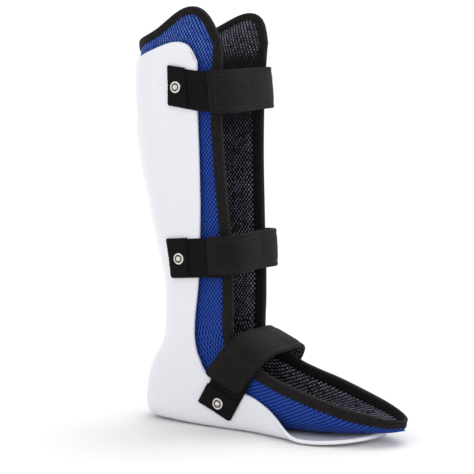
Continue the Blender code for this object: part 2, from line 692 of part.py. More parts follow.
def ribbon(name, strap, path, width, faces, material, collection):
    """A flat band along a path; faces gives its inner and outer offset at each s."""
    forward = strap["forward"]
    across = strap["across"]
    sideways = Vector((0, 1, 0))
    rings = []
    for s, y, normal_s, normal_y, centre in path:
        place = forward * s + sideways * y + strap["rise"] * centre
        normal = forward * normal_s + sideways * normal_y
        inner, outer = faces(s)
        edge = across * (width / 2)
        rings.append([place + normal * inner - edge, place + normal * outer - edge,
                      place + normal * outer + edge, place + normal * inner + edge])
    return closed_loft(name, rings, material, collection)


# Offsets of the strap's layers from the inner face of its padding, outward.
TAB_OUTER = -(GAP + HOOK_PATCH_THICKNESS + GAP)
TAB_INNER = TAB_OUTER - TAB_THICKNESS
PAD_INNER = GAP - TAB_INNER       # from the shell's wall to the padding's inner face
FOAM_INNER = LINING_THICKNESS + GAP
COVER_INNER = FOAM_INNER + STRAP_FOAM_THICKNESS + GAP
COVER_OUTER = COVER_INNER + COVER_THICKNESS


def rivet_place(strap, side):
    """Where a rivet's axis meets the shell's wall, on the near side (-1) or the far side (1)."""
    path = strap_path(strap, (side, strap["rivet"]), (side, strap["tab_tip"]), 1)
    s, _, _, _, centre = path[0]
    return strap["forward"] * s + Vector((0, side * strap["rivet_wall"], 0)) + strap["rise"] * centre


def build_tabs(name, strap, collection):
    """The two webbing tabs, each folded double under its rivet."""
    def folded(s):
        return TAB_INNER, TAB_OUTER + (TAB_FOLD_THICKNESS if s < strap["fold_end"] else 0.0)

    start, tip, fold = strap["tab_start"], strap["tab_tip"], strap["fold_end"]
    tabs = {}
    for label, side in SIDES:
        path = (strap_path(strap, (side, start), (side, fold - FOLD_STEP), 2)
                + strap_path(strap, (side, fold), (side, tip), 6))
        tabs[label] = ribbon(f"{name}_{label}_tab", strap, path, strap["tab_width"], folded,
                             "webbing", collection)
    return tabs


def build_pad(name, strap, collection):
    """The padded strap: lining, foam, cover and hook patch, which swing on a hinge together."""
    near_end = (-1, strap["pad_start"])
    width = strap["pad_width"]
    pad_path = strap_path(strap, near_end, (1, strap["hinge"]), 22, "pad_centre")
    hook_path = strap_path(strap, near_end, (-1, strap["tab_tip"]), 4, "pad_centre")
    pieces = [
        ("strap_lining", pad_path, width, 0.0, LINING_THICKNESS, "black_mesh"),
        ("strap_foam", pad_path, width - 2 * PAD_EDGE, FOAM_INNER,
         FOAM_INNER + STRAP_FOAM_THICKNESS, "foam"),
        ("strap_cover", pad_path, width, COVER_INNER, COVER_OUTER, "strap"),
        ("hook_patch", hook_path, HOOK_PATCH_WIDTH, -GAP - HOOK_PATCH_THICKNESS, -GAP, "hook"),
    ]
    hinge_s, hinge_y, normal_s, normal_y, centre = pad_path[-1]
    lift = COVER_OUTER + GAP
    axis_place = (strap["forward"] * (hinge_s + normal_s * lift)
                  + Vector((0, hinge_y + normal_y * lift, 0)) + strap["rise"] * centre)
    hinge = bpy.data.objects.new(f"{name}_strap_hinge", None)
    collection.objects.link(hinge)
    hinge.matrix_world = standing(axis_place, strap["across"])
    bpy.context.view_layer.update()
    for label, path, size, inner, outer, material in pieces:
        piece = ribbon(f"{name}_{label}", strap, path, size, lambda s, f=(inner, outer): f,
                       material, collection)
        piece.parent = hinge
        piece.matrix_parent_inverse = hinge.matrix_world.inverted()


def build_rivet(label, strap, side, collection):
    """A domed rivet through tab and shell, the ring under its head and the burr inside."""
    place = rivet_place(strap, side)
    outward = Vector((0, side, 0))
    tab_top = strap["shell_half_width"] - strap["rivet_wall"] + PAD_INNER + TAB_OUTER
    ring_base = tab_top + TAB_FOLD_THICKNESS + GAP
    ring_top = ring_base + RING_HEIGHT
    head_base = ring_top + GAP
    head_top = head_base + HEAD_HEIGHT
    burr_top = -SHELL_THICKNESS - GAP
    burr_base = burr_top - BURR_THICKNESS
    profiles = {
        "": [(0.0, head_top), (HEAD_RADIUS * 0.55, head_top - HEAD_HEIGHT * 0.15),
             (HEAD_RADIUS * 0.9, head_top - HEAD_HEIGHT * 0.55), (HEAD_RADIUS, head_base),
             (SHANK_RADIUS, head_base), (SHANK_RADIUS, burr_base), (0.0, burr_base)],
        "_ring": [(RIVET_HOLE_RADIUS, ring_top - RING_HEIGHT * 0.2),
                  (RING_RADIUS * 0.85, ring_top), (RING_RADIUS, ring_top - RING_HEIGHT * 0.4),
                  (RING_RADIUS, ring_base), (RIVET_HOLE_RADIUS, ring_base)],
        "_burr": [(RIVET_HOLE_RADIUS, burr_top), (BURR_RADIUS, burr_top),
                  (BURR_RADIUS, burr_base), (RIVET_HOLE_RADIUS, burr_base)],
    }
    for ending, profile in profiles.items():
        turned(label + ending, profile, place, outward, "nickel", collection)


def build_strap(name, strap, shell, collection, cutters):
    """One strap with its tabs and rivets, and the rivets' holes."""
    tabs = build_tabs(name, strap, collection)
    build_pad(name, strap, collection)
    for side_label, side in SIDES:
        label = f"{name}_{side_label}_rivet"
        build_rivet(label, strap, side, collection)
        cutter = hole_cutter(f"{label}_hole", rivet_place(strap, side), Vector((0, side, 0)), cutters)
        cut(shell, cutter)
        cut(tabs[side_label], cutter)


# ---------------------------------------------------------------- assembly

def hook_strips(liner_grid, collection):
    """Strips of hook tape on the liner's outer face, two in the calf and one under the sole."""
    middle = len(LINER_COLUMNS) - 1
    first, last = (LINER_COLUMNS.index(share) for share in CALF_STRIP_SHARES)
    sole = LINER_COLUMNS.index(SOLE_STRIP_SHARE)
    strips = {
        "calf_near_hook_strip": (CALF_STRIP_ROWS, (middle - last, middle - first)),
        "calf_far_hook_strip": (CALF_STRIP_ROWS, (middle + first, middle + last)),
        "sole_hook_strip": (SOLE_STRIP_ROWS, (middle - sole, middle + sole)),
    }
    for name, (stations, columns) in strips.items():
        rows = [TOP_ROWS + LINER_ROWS.index(station) for station in stations]
        layer(name, patch(liner_grid, rows, columns), -GAP - HOOK_STRIP_THICKNESS,
              HOOK_STRIP_THICKNESS, "hook", collection)


def main():
    """Build every piece at rest, with the straps closed."""
    for old in list(bpy.data.objects):
        bpy.data.objects.remove(old)
    collection = bpy.data.collections.new("ankle_foot_orthosis")
    cutters = bpy.data.collections.new("cutters")
    bpy.context.scene.collection.children.link(collection)
    bpy.context.scene.collection.children.link(cutters)

    shell_body = Body(SHELL_BACK, SHELL_EDGE, SHELL_HALF_WIDTH, SHELL_FLARE, SHELL_FLAT,
                      SHELL_CORNER, SHELL_TOP, SHELL_TWIST, SHELL_TOE_START, SHELL_TOE)
    shell_grid = shell_body.grid(SHELL_ROWS, SHELL_COLUMNS)
    add_rib(shell_grid)
    settle(shell_grid)
    shell = moulding("shell", shell_grid, SHELL_THICKNESS, "shell", collection)

    liner_body = Body(LINER_BACK, LINER_EDGE, LINER_HALF_WIDTH, LINER_FLARE, LINER_FLAT,
                      LINER_CORNER, LINER_TOP, LINER_TWIST, LINER_TOE_START, LINER_TOE)
    liner_grid = liner_body.grid(LINER_ROWS, LINER_COLUMNS)
    foam_inset = MESH_THICKNESS + GAP
    inner_inset = foam_inset + FOAM_THICKNESS + GAP
    layer("liner_outer_mesh", liner_grid, 0.0, MESH_THICKNESS, "blue_mesh", collection)
    layer("liner_foam", liner_grid, foam_inset, FOAM_THICKNESS, "foam", collection)
    layer("liner_inner_mesh", liner_grid, inner_inset, MESH_THICKNESS, "black_mesh", collection)
    closed_loft("liner_binding", binding_rings(liner_grid), "binding", collection, closed=True)

    hook_strips(liner_grid, collection)
    for name, strap in STRAPS.items():
        build_strap(name, strap, shell, collection, cutters)


main()
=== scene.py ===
"""Looks for the ankle foot orthosis: every CAD solid but the hook strips is replaced by a finer piece
in the same place.

Units are metres, in the CAD's frame: +X to the toes, +Z up, -Y the side where the straps open.
"""

import json
import math

import bmesh
import bpy
import numpy as np
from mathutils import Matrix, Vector, noise
from mathutils.bvhtree import BVHTree
from mathutils.kdtree import KDTree

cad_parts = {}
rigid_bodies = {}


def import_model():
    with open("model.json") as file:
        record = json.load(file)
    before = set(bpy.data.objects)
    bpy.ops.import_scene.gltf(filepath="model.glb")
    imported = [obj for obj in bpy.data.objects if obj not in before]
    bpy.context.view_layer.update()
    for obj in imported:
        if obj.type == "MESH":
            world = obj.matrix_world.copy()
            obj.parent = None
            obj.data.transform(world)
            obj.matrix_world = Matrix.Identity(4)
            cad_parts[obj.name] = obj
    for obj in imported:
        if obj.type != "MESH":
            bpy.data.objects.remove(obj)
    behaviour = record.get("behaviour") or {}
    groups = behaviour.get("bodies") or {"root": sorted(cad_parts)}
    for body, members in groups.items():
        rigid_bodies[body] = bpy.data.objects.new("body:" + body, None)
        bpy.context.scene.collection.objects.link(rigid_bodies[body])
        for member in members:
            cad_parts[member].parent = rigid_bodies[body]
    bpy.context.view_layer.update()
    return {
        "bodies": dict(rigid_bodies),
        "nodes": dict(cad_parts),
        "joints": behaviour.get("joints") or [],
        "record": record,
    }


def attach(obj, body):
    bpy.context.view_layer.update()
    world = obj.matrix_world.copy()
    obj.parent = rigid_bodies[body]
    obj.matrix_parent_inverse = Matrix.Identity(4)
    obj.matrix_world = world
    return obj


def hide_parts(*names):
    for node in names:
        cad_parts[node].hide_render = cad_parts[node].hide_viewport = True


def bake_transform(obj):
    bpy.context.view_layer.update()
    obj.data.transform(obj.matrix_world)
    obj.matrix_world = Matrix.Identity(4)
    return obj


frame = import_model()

# ---------------------------------------------------------------- sizes, as in the CAD

PIVOT_X = 0.062                 # the section planes turn about this line, parallel to Y
PIVOT_Z = 0.097
METRES_PER_DEGREE = 0.001       # a station's length for each degree of the turn
SHELL_THICKNESS = 0.0035
LINER_THICKNESS = 0.0060
LINER_THIN_START = 0.150        # the liner thins from this x to the toe's tip
LINER_TIP_SHARE = 0.30
TAB_THICKNESS = 0.0014
PAD_INNER = 0.0029              # from the shell's wall to the padding's inner face
TAB_OUTER = -0.0012             # from the padding's inner face to the tab's outer face
PATH_LEAD = 0.004               # a strap's path starts this far behind its tab


def leg(z):
    """Station of the level section plane at height z."""
    return PIVOT_Z - z


def heel(angle):
    """Station of the section plane that points angle degrees round from the toes' direction."""
    return (angle - 180.0) * METRES_PER_DEGREE


def foot(x):
    """Station of the upright section plane at x."""
    return heel(270.0) + x - PIVOT_X


# Side outlines as (x, z), from the calf's top, round the heel, to the toes.
SHELL_BACK = [
    (-0.0722, 0.362), (-0.0732, 0.338), (-0.0742, 0.310), (-0.0728, 0.283), (-0.0678, 0.245),
    (-0.0616, 0.217), (-0.0565, 0.193), (-0.0494, 0.160), (-0.0440, 0.135), (-0.0424, 0.113),
    (-0.0432, 0.090), (-0.0462, 0.073), (-0.0505, 0.065), (-0.0560, 0.057), (-0.0602, 0.046),
    (-0.0625, 0.033), (-0.0628, 0.018), (-0.0606, 0.008), (-0.0568, 0.0025), (-0.0510, 0.0),
    (0.0, 0.0), (0.062, 0.0), (0.118, 0.0), (0.135, 0.0003), (0.150, 0.0014), (0.165, 0.0032),
    (0.181, 0.0058),
]
SHELL_EDGE = [
    (0.0144, 0.362), (0.0142, 0.320), (0.0140, 0.257), (0.0134, 0.211), (0.0119, 0.179),
    (0.0097, 0.137), (0.0075, 0.119), (0.0052, 0.100), (0.0046, 0.086), (0.0063, 0.072),
    (0.0100, 0.063), (0.0153, 0.054), (0.0200, 0.0488), (0.0300, 0.0420), (0.0430, 0.0386),
    (0.0573, 0.0365), (0.0657, 0.0346), (0.0760, 0.0303), (0.0875, 0.0245), (0.0988, 0.0160),
    (0.1080, 0.0065), (0.1130, 0.0030), (0.1200, 0.0018), (0.1350, 0.0020), (0.1500, 0.0029),
    (0.1650, 0.0044), (0.1810, 0.0058),
]
LINER_BACK = [
    (-0.0710, 0.392), (-0.0700, 0.352), (-0.0685, 0.332), (-0.0688, 0.310), (-0.0674, 0.283),
    (-0.0623, 0.245), (-0.0561, 0.217), (-0.0510, 0.193), (-0.0439, 0.160), (-0.0386, 0.135),
    (-0.0370, 0.113),
    (-0.0377, 0.090), (-0.0398, 0.075), (-0.0432, 0.065), (-0.0480, 0.055), (-0.0528, 0.044),
    (-0.0562, 0.030), (-0.0565, 0.019), (-0.0545, 0.0115), (-0.0505, 0.0068), (-0.0440, 0.0054),
    (0.0, 0.0054), (0.062, 0.0054), (0.118, 0.0056), (0.140, 0.0062), (0.160, 0.0080),
    (0.180, 0.0104), (0.192, 0.0106), (0.2005, 0.0110),
]
LINER_EDGE = [
    (0.0352, 0.392), (0.0348, 0.350), (0.0330, 0.310), (0.0326, 0.288), (0.0336, 0.252),
    (0.0362, 0.205), (0.0384, 0.170), (0.0400, 0.134), (0.0400, 0.112), (0.0394, 0.097),
    (0.0397, 0.088), (0.0424, 0.0785), (0.0490, 0.0700), (0.0590, 0.0638), (0.0690, 0.0590),
    (0.0780, 0.0546), (0.0960, 0.0482), (0.1165, 0.0424), (0.1340, 0.0370), (0.1520, 0.0318),
    (0.1780, 0.0246), (0.1920, 0.0207), (0.2005, 0.0190),
]

# Half widths by station, as (station, half width).
SHELL_HALF_WIDTH = [
    (leg(0.362), 0.0486), (leg(0.338), 0.0480), (leg(0.290), 0.0471), (leg(0.252), 0.0448),
    (leg(0.205), 0.0420), (leg(0.172), 0.0399), (leg(0.140), 0.0391), (leg(0.097), 0.0390),
    (heel(200), 0.0384), (heel(212), 0.0380), (heel(226), 0.0388), (heel(236), 0.0390),
    (foot(0.064), 0.0390), (foot(0.070), 0.0402), (foot(0.080), 0.0424), (foot(0.092), 0.0452),
    (foot(0.104), 0.0495), (foot(0.114), 0.0535), (foot(0.122), 0.0556), (foot(0.181), 0.0556),
]
LINER_HALF_WIDTH = [
    (leg(0.392), 0.0494), (leg(0.372), 0.0472), (leg(0.353), 0.0431), (leg(0.338), 0.0423),
    (leg(0.290), 0.0417), (leg(0.252), 0.0394), (leg(0.205), 0.0366), (leg(0.172), 0.0345),
    (leg(0.140), 0.0337),
    (leg(0.097), 0.0335), (heel(200), 0.0329), (heel(212), 0.0326), (heel(226), 0.0332),
    (heel(236), 0.0335), (heel(262), 0.0338), (foot(0.078), 0.0362), (foot(0.100), 0.0388),
    (foot(0.118), 0.0398), (foot(0.2005), 0.0398),
]
# How far the side wall leans out, as widening for each metre above the corner.
SHELL_FLARE = [(leg(0.362), 0.0), (foot(0.181), 0.0)]
LINER_FLARE = [(leg(0.392), 0.0), (heel(245), 0.0), (foot(0.075), 0.055), (foot(0.110), 0.02),
               (foot(0.150), 0.0), (foot(0.2005), 0.0)]
# Share of the half width that is flat, and the depth of the rounded corner beside it.
SHELL_FLAT = [(leg(0.362), 0.0), (heel(200), 0.0), (heel(209), 0.06), (heel(216), 0.20),
              (heel(223), 0.48), (heel(234), 0.74), (heel(246), 0.82), (foot(0.080), 0.82),
              (foot(0.118), 0.78), (foot(0.181), 0.78)]
SHELL_CORNER = [(leg(0.362), 0.042), (leg(0.300), 0.044), (leg(0.245), 0.041), (leg(0.205), 0.038),
                (leg(0.160), 0.035), (leg(0.097), 0.034), (heel(200), 0.033), (heel(210), 0.028),
                (heel(217), 0.021), (heel(224), 0.013), (heel(236), 0.0085), (foot(0.181), 0.0080)]
LINER_FLAT = [(leg(0.392), 0.0), (heel(200), 0.0), (heel(214), 0.16), (heel(222), 0.35),
              (heel(236), 0.55), (heel(256), 0.60), (foot(0.100), 0.50), (foot(0.130), 0.46),
              (foot(0.2005), 0.46)]
LINER_CORNER = [(leg(0.392), 0.037), (leg(0.300), 0.0386), (leg(0.245), 0.0356),
                (leg(0.205), 0.0326), (leg(0.160), 0.0296), (leg(0.097), 0.0286),
                (heel(200), 0.0280), (heel(212), 0.0230),
                (heel(222), 0.0165), (heel(236), 0.0130), (foot(0.070), 0.0140),
                (foot(0.110), 0.0200), (foot(0.150), 0.0200), (foot(0.2005), 0.0160)]
# Height of the calf's top edge, as (share of the way from the back to the front edge, z), with
# the near side's shares negative.
SHELL_TOP = [(0.0, 0.3355), (0.15, 0.3365), (0.31, 0.3395), (0.50, 0.3450), (0.64, 0.3500),
             (0.72, 0.3530), (0.80, 0.3548), (0.89, 0.3532), (0.95, 0.3500), (0.985, 0.3450),
             (1.0, 0.3360)]
SHELL_TOP = [(-share, z) for share, z in reversed(SHELL_TOP[1:])] + SHELL_TOP
SHELL_TWIST = [(leg(0.362), 0.0), (foot(0.181), 0.0)]
LINER_TOP = [(-1.0, 0.3530), (-0.992, 0.3596), (-0.968, 0.3676), (-0.936, 0.3744),
             (-0.896, 0.3798), (-0.84, 0.3832), (-0.79, 0.3832), (-0.71, 0.3796), (-0.62, 0.3724),
             (-0.50, 0.3636), (-0.395, 0.3592), (-0.28, 0.3566), (-0.20, 0.3538), (-0.10, 0.3512),
             (0.0, 0.3502), (0.10, 0.3508), (0.20, 0.3535), (0.28, 0.3568), (0.395, 0.3606),
             (0.50, 0.3642), (0.62, 0.3706), (0.71, 0.3766), (0.79, 0.3812), (0.84, 0.3828),
             (0.896, 0.3820), (0.936, 0.3784), (0.968, 0.3724), (0.992, 0.3644), (1.0, 0.3560)]
# How far the liner's free front edges are twisted above the shell, as forward shift for each
# metre of y.
LINER_TWIST = [(leg(0.372), 0.052), (leg(0.350), 0.016), (leg(0.320), 0.0)]
TWIST_POWER = 4.0               # the twist grows with this power of the share

# The raised panel that stiffens the back of the calf, and its fainter run down the ankle.
RIB_HEIGHT = [(leg(0.284), 0.0), (leg(0.279), 0.0045), (leg(0.245), 0.0042), (leg(0.200), 0.0034),
              (leg(0.163), 0.0026), (leg(0.150), 0.0009), (leg(0.090), 0.0008), (leg(0.078), 0.0)]
RIB_HALF_WIDTH = 0.0205
RIB_RAMP = 0.0040
RIB_FRONT = -0.025              # nothing in front of this x is pushed out
RIB_SPREAD = 17.0               # sideways push for each metre of y, as a share of the push back

# Straps. A strap's path lies in the plane of forward (distance s) and Y, and across is the
# direction of its width. It leaves the shell's walls at s0 and is furthest forward at front, and
# power sets how square it turns there. The webbing tab, tab_width wide, runs from tab_start to
# tab_tip, and is folded double as far as fold_end. The padded strap runs from pad_start on the
# near side to hinge on the far side. centre and pad_centre are the tabs' and the padding's height
# along rise, by the share of the path from the near rear end to the far one. rivet and
# rivet_wall are a rivet's s and its distance from the midline.
STRAPS = {
    "upper": {
        "forward": Vector((1, 0, 0)), "rise": Vector((0, 0, 1)),
        "across": Vector((-0.09, 0, 0.996)),
        "shell_half_width": 0.0483, "s0": 0.020, "front": 0.0425, "power": 3.6,
        "tab_start": -0.0155, "tab_width": 0.0362, "pad_width": 0.0388,
        "tab_tip": 0.0335, "fold_end": 0.0050, "pad_start": 0.0295,
        "hinge": 0.0350, "rivet": -0.0064, "rivet_wall": 0.0475,
        "centre": [(0.0, 0.3147), (0.22, 0.3092), (0.41, 0.3107), (0.62, 0.3135), (1.0, 0.3165)],
        "pad_centre": [(0.0, 0.3120), (0.22, 0.3089), (0.41, 0.3107), (0.62, 0.3135), (1.0, 0.3165)],
    },
    "middle": {
        "forward": Vector((1, 0, 0)), "rise": Vector((0, 0, 1)),
        "across": Vector((-0.05, 0, 0.9987)),
        "shell_half_width": 0.0408, "s0": 0.024, "front": 0.0500, "power": 4.8,
        "tab_start": -0.0212, "tab_width": 0.0360, "pad_width": 0.0352,
        "tab_tip": 0.0385, "fold_end": 0.0010, "pad_start": 0.0250,
        "hinge": 0.0400, "rivet": -0.0088, "rivet_wall": 0.0393,
        "centre": [(0.0, 0.1553), (0.22, 0.1590), (0.36, 0.1604), (0.68, 0.1628), (1.0, 0.1615)],
        "pad_centre": [(0.0, 0.1608), (0.23, 0.1614), (0.50, 0.1643), (0.68, 0.1631), (1.0, 0.1615)],
    },
    "instep": {
        "forward": Vector((0.476, 0, 0.880)), "rise": Vector((-0.915, 0, 0.403)),
        "across": Vector((-0.915, 0, 0.403)),
        "shell_half_width": 0.0390, "s0": 0.068, "front": 0.1000, "power": 3.8,
        "tab_start": 0.0265, "tab_width": 0.0360, "pad_width": 0.0390,
        "tab_tip": 0.0660, "fold_end": 0.0480, "pad_start": 0.0560,
        "hinge": 0.0680, "rivet": 0.0360, "rivet_wall": 0.0390,
        "centre": [(0.0, -0.0166), (0.30, -0.0182), (0.50, -0.0190), (0.70, -0.0186),
                   (1.0, -0.0166)],
        "pad_centre": [(0.0, -0.0110), (0.16, -0.0130), (0.31, -0.0180), (0.50, -0.0202),
                       (0.75, -0.0186), (1.0, -0.0166)],
    },
}

SHELL_TOE_START = 0.122
SHELL_TOE = 0.181
LINER_TOE_START = 0.108
LINER_TOE = 0.2005
LINER_HIGH = 0.356                # where the edge tape is narrowest
BLEND_TOP = 0.310

# How finely the pieces are lofted.
HALF_COLUMNS = 44
TOP_ROWS = 18
LEG_STEP = 0.0026
HEEL_STEP = 1.0
TOE_ROWS = 26
CORNER_STEPS = 40
SMOOTHING = 14
BORDER_SMOOTHING = 4
RIB_SMOOTHING = 3
SHELL_RIM = 0.0014              # radius of the rounding round each sheet's border
LINER_RIM = 0.0012

# The liner's padding and its edge tape.
PRESSED = 0.0008                # how far the tape presses the liner's faces in
PRESSED_WIDTH = 0.0062
PUFF = 0.0008                   # how far the padding swells beside the tape
PUFF_PLACE = 0.0135
PUFF_WIDTH = 0.0060
WAVER = 0.00035                 # size of the padding's soft unevenness
TAPE_WIDTH = 0.0070
TAPE_TOP_WIDTH = 0.0048
TAPE_TOP_START = 0.318
TAPE_TOE_WIDTH = 0.0045
TAPE_TOE_RUN = 0.030
TAPE_FACE = 0.0007              # the tape's outer face over the liner's
TAPE_LIP = 0.0022               # the tape's fold beyond the liner's edge
TAPE_INSIDE = 0.0001

# The straps.
PAD_BORDER = 0.0046             # width of the pressed border round a padded strap
PAD_OVERLAP = 0.011             # how far the padded strap is sewn onto the far tab
PAD_STEP = 0.0011
STITCH_LENGTH = 0.0021
STITCH_PITCH = 0.0031
STITCH_RADIUS = 0.00022
TOOTH_PITCH = 0.0030            # the tab's saw tooth cut end
TOOTH_DEPTH = 0.0011
FOLD_THICKNESS = 0.0010
CLOTH_FRAMES = 14
CLOTH_CAP = 0.0014              # the furthest the padded straps' cloth may move
CLOTH_PRESSURE = 4.0
CLOTH_SLACK = -0.003            # cut this much larger than the padding under it
MESH_PITCH_U = 0.0034
MESH_PITCH_V = 0.0047
TAB_SLANT = {"upper": 0.08, "middle": -0.10, "instep": 0.0}
SLANT_RUN = 0.016
FOLD_EXTRA = 0.0006             # how much wider the tab's folded end is
FOLD_LIFT = 0.0007
NEAR_TIP_EXTRA = 0.008          # the near tabs reach this much further under the straps
FAR_TIP_CUT = 0.002             # the far tabs stop this much shorter
TAB_CLEARANCE = 0.00025
TAB_ROUND = 0.0003              # how far a tab's edges are drawn in
SETTLE_SMOOTHING = 20
PATH_POINTS = 900
PATH_SMOOTHING = 30
PAD_CORNER = 0.0035
PAD_WAVER = 0.0005
PAD_EDGE_HEIGHT = 0.0031        # the outer face at a padded strap's very edge
PAD_EDGE_RISE = 0.0006
PAD_EDGE_RUN = 0.0012
PAD_CROWN = 0.0004              # how much further the face stands out over the padding
PAD_CROWN_RUN = 0.0055
SEAM_DEPTH = 0.00045            # the groove that the stitches lie in
SEAM_WIDTH = 0.0005
FREE_MARGIN = 0.0008            # the cloth is held this far inside the stitched border
LINING_EDGE = 0.0006            # the inner face at a strap's edge, and how far it sinks inside
LINING_DROP = 0.0005
LINING_RUN = 0.004
SEWN_DEPTH = 0.0009             # how far a strap is pulled in where it is sewn onto its far tab
FOLD_REACH = 0.004              # sets how much of a strap bends and is pulled in at its hinge
STITCH_LEAD = 0.0005
HOOK_START = 0.002              # the hook tape on a strap, from the strap's near end
HOOK_END = 0.030
HOOK_ROWS = 17
HOOK_HALF_WIDTH = 0.0155
HOOK_TOP = -0.00005
HOOK_BASE = -0.0007

# Rivets, as (radius, height) round each profile.
RIVET_PROFILE = [
    (0.0, 0.00235), (0.0009, 0.00228), (0.0017, 0.00202), (0.0023, 0.00158), (0.0026, 0.00105),
    (0.00272, 0.0005), (0.0029, 0.00028), (0.0031, 0.0003), (0.00335, 0.0007), (0.0037, 0.00112),
    (0.0042, 0.00138), (0.0047, 0.00134), (0.00515, 0.00105), (0.00545, 0.0006),
    (0.00556, 0.0002), (0.0055, -0.0002), (0.0, -0.0002),
]
BURR_PROFILE = [
    (0.0, -0.0004), (0.002, -0.0004), (0.0024, -0.0001), (0.0042, -0.0001), (0.0045, -0.0004),
    (0.0045, -0.0009), (0.0042, -0.0011), (0.0, -0.0011),
]
GROOVE_INSIDE = 0.0026          # the dark groove round a rivet's dome
GROOVE_OUTSIDE = 0.0036


# ---------------------------------------------------------------- curves, as in the CAD

def monotone(knots):
    """A smooth curve through (x, y) knots that never overshoots them."""
    xs = [k[0] for k in knots]
    ys = [k[1] for k in knots]
    slopes = [(ys[i + 1] - ys[i]) / (xs[i + 1] - xs[i]) for i in range(len(xs) - 1)]
    tangents = [slopes[0]]
    for before, after in zip(slopes, slopes[1:]):
        same_way = before * after > 0
        tangents.append(2 * before * after / (before + after) if same_way else 0.0)
    tangents.append(slopes[-1])

    def value(x):
        if x <= xs[0]:
            return ys[0]
        if x >= xs[-1]:
            return ys[-1]
        i = max(j for j in range(len(xs) - 1) if xs[j] <= x)
        span = xs[i + 1] - xs[i]
        t = (x - xs[i]) / span
        return ((2 * t**3 - 3 * t**2 + 1) * ys[i] + (t**3 - 2 * t**2 + t) * span * tangents[i]
                + (3 * t**2 - 2 * t**3) * ys[i + 1] + (t**3 - t**2) * span * tangents[i + 1])

    return value


def smoothstep(low, high, x):
    """0 below low, 1 above high, and a smooth rise between them."""
    t = min(1.0, max(0.0, (x - low) / (high - low)))
    return t * t * (3 - 2 * t)


def relaxed(values, passes):
    """Evens out a row of values or points, and keeps its two ends in place."""
    for _ in range(passes):
        values[1:-1] = (values[:-2] + 2 * values[1:-1] + values[2:]) / 4
    return values


def fine_outline(points, steps=10):
    """The (x, z) points of a side outline, joined by a smooth curve with steps points a stretch."""
    along = [0.0]
    for (x0, z0), (x1, z1) in zip(points, points[1:]):
        along.append(along[-1] + math.hypot(x1 - x0, z1 - z0))
    curve_x = monotone([(s, p[0]) for s, p in zip(along, points)])
    curve_z = monotone([(s, p[1]) for s, p in zip(along, points)])
    fine = []
    for start, end in zip(along, along[1:]):
        for k in range(steps):
            s = start + (end - start) * k / steps
            fine.append((curve_x(s), curve_z(s)))
    fine.append(points[-1])
    return fine


def plane_at(station):
    """Origin and direction, in (x, z), of the section plane at a station."""
    if station <= 0:
        return (PIVOT_X, PIVOT_Z - station), (-1.0, 0.0)
    if station >= heel(270.0):
        return (PIVOT_X + station - heel(270.0), PIVOT_Z), (0.0, -1.0)
    angle = math.radians(180.0 + station / METRES_PER_DEGREE)
    return (PIVOT_X, PIVOT_Z), (math.cos(angle), math.sin(angle))


def reach(outline, station):
    """Distance from the plane's origin to where the plane meets an outline."""
    (ox, oz), (ex, ez) = plane_at(station)
    best = None
    for (x0, z0), (x1, z1) in zip(outline, outline[1:]):
        side0 = ex * (z0 - oz) - ez * (x0 - ox)
        side1 = ex * (z1 - oz) - ez * (x1 - ox)
        if side0 * side1 > 0 or side0 == side1:
            continue
        t = side0 / (side0 - side1)
        distance = ex * (x0 + (x1 - x0) * t - ox) + ez * (z0 + (z1 - z0) * t - oz)
        if distance > 0 and (best is None or distance < best):
            best = distance
    if best is None:
        last = outline[-1]
        best = ex * (last[0] - ox) + ez * (last[1] - oz)
    return best


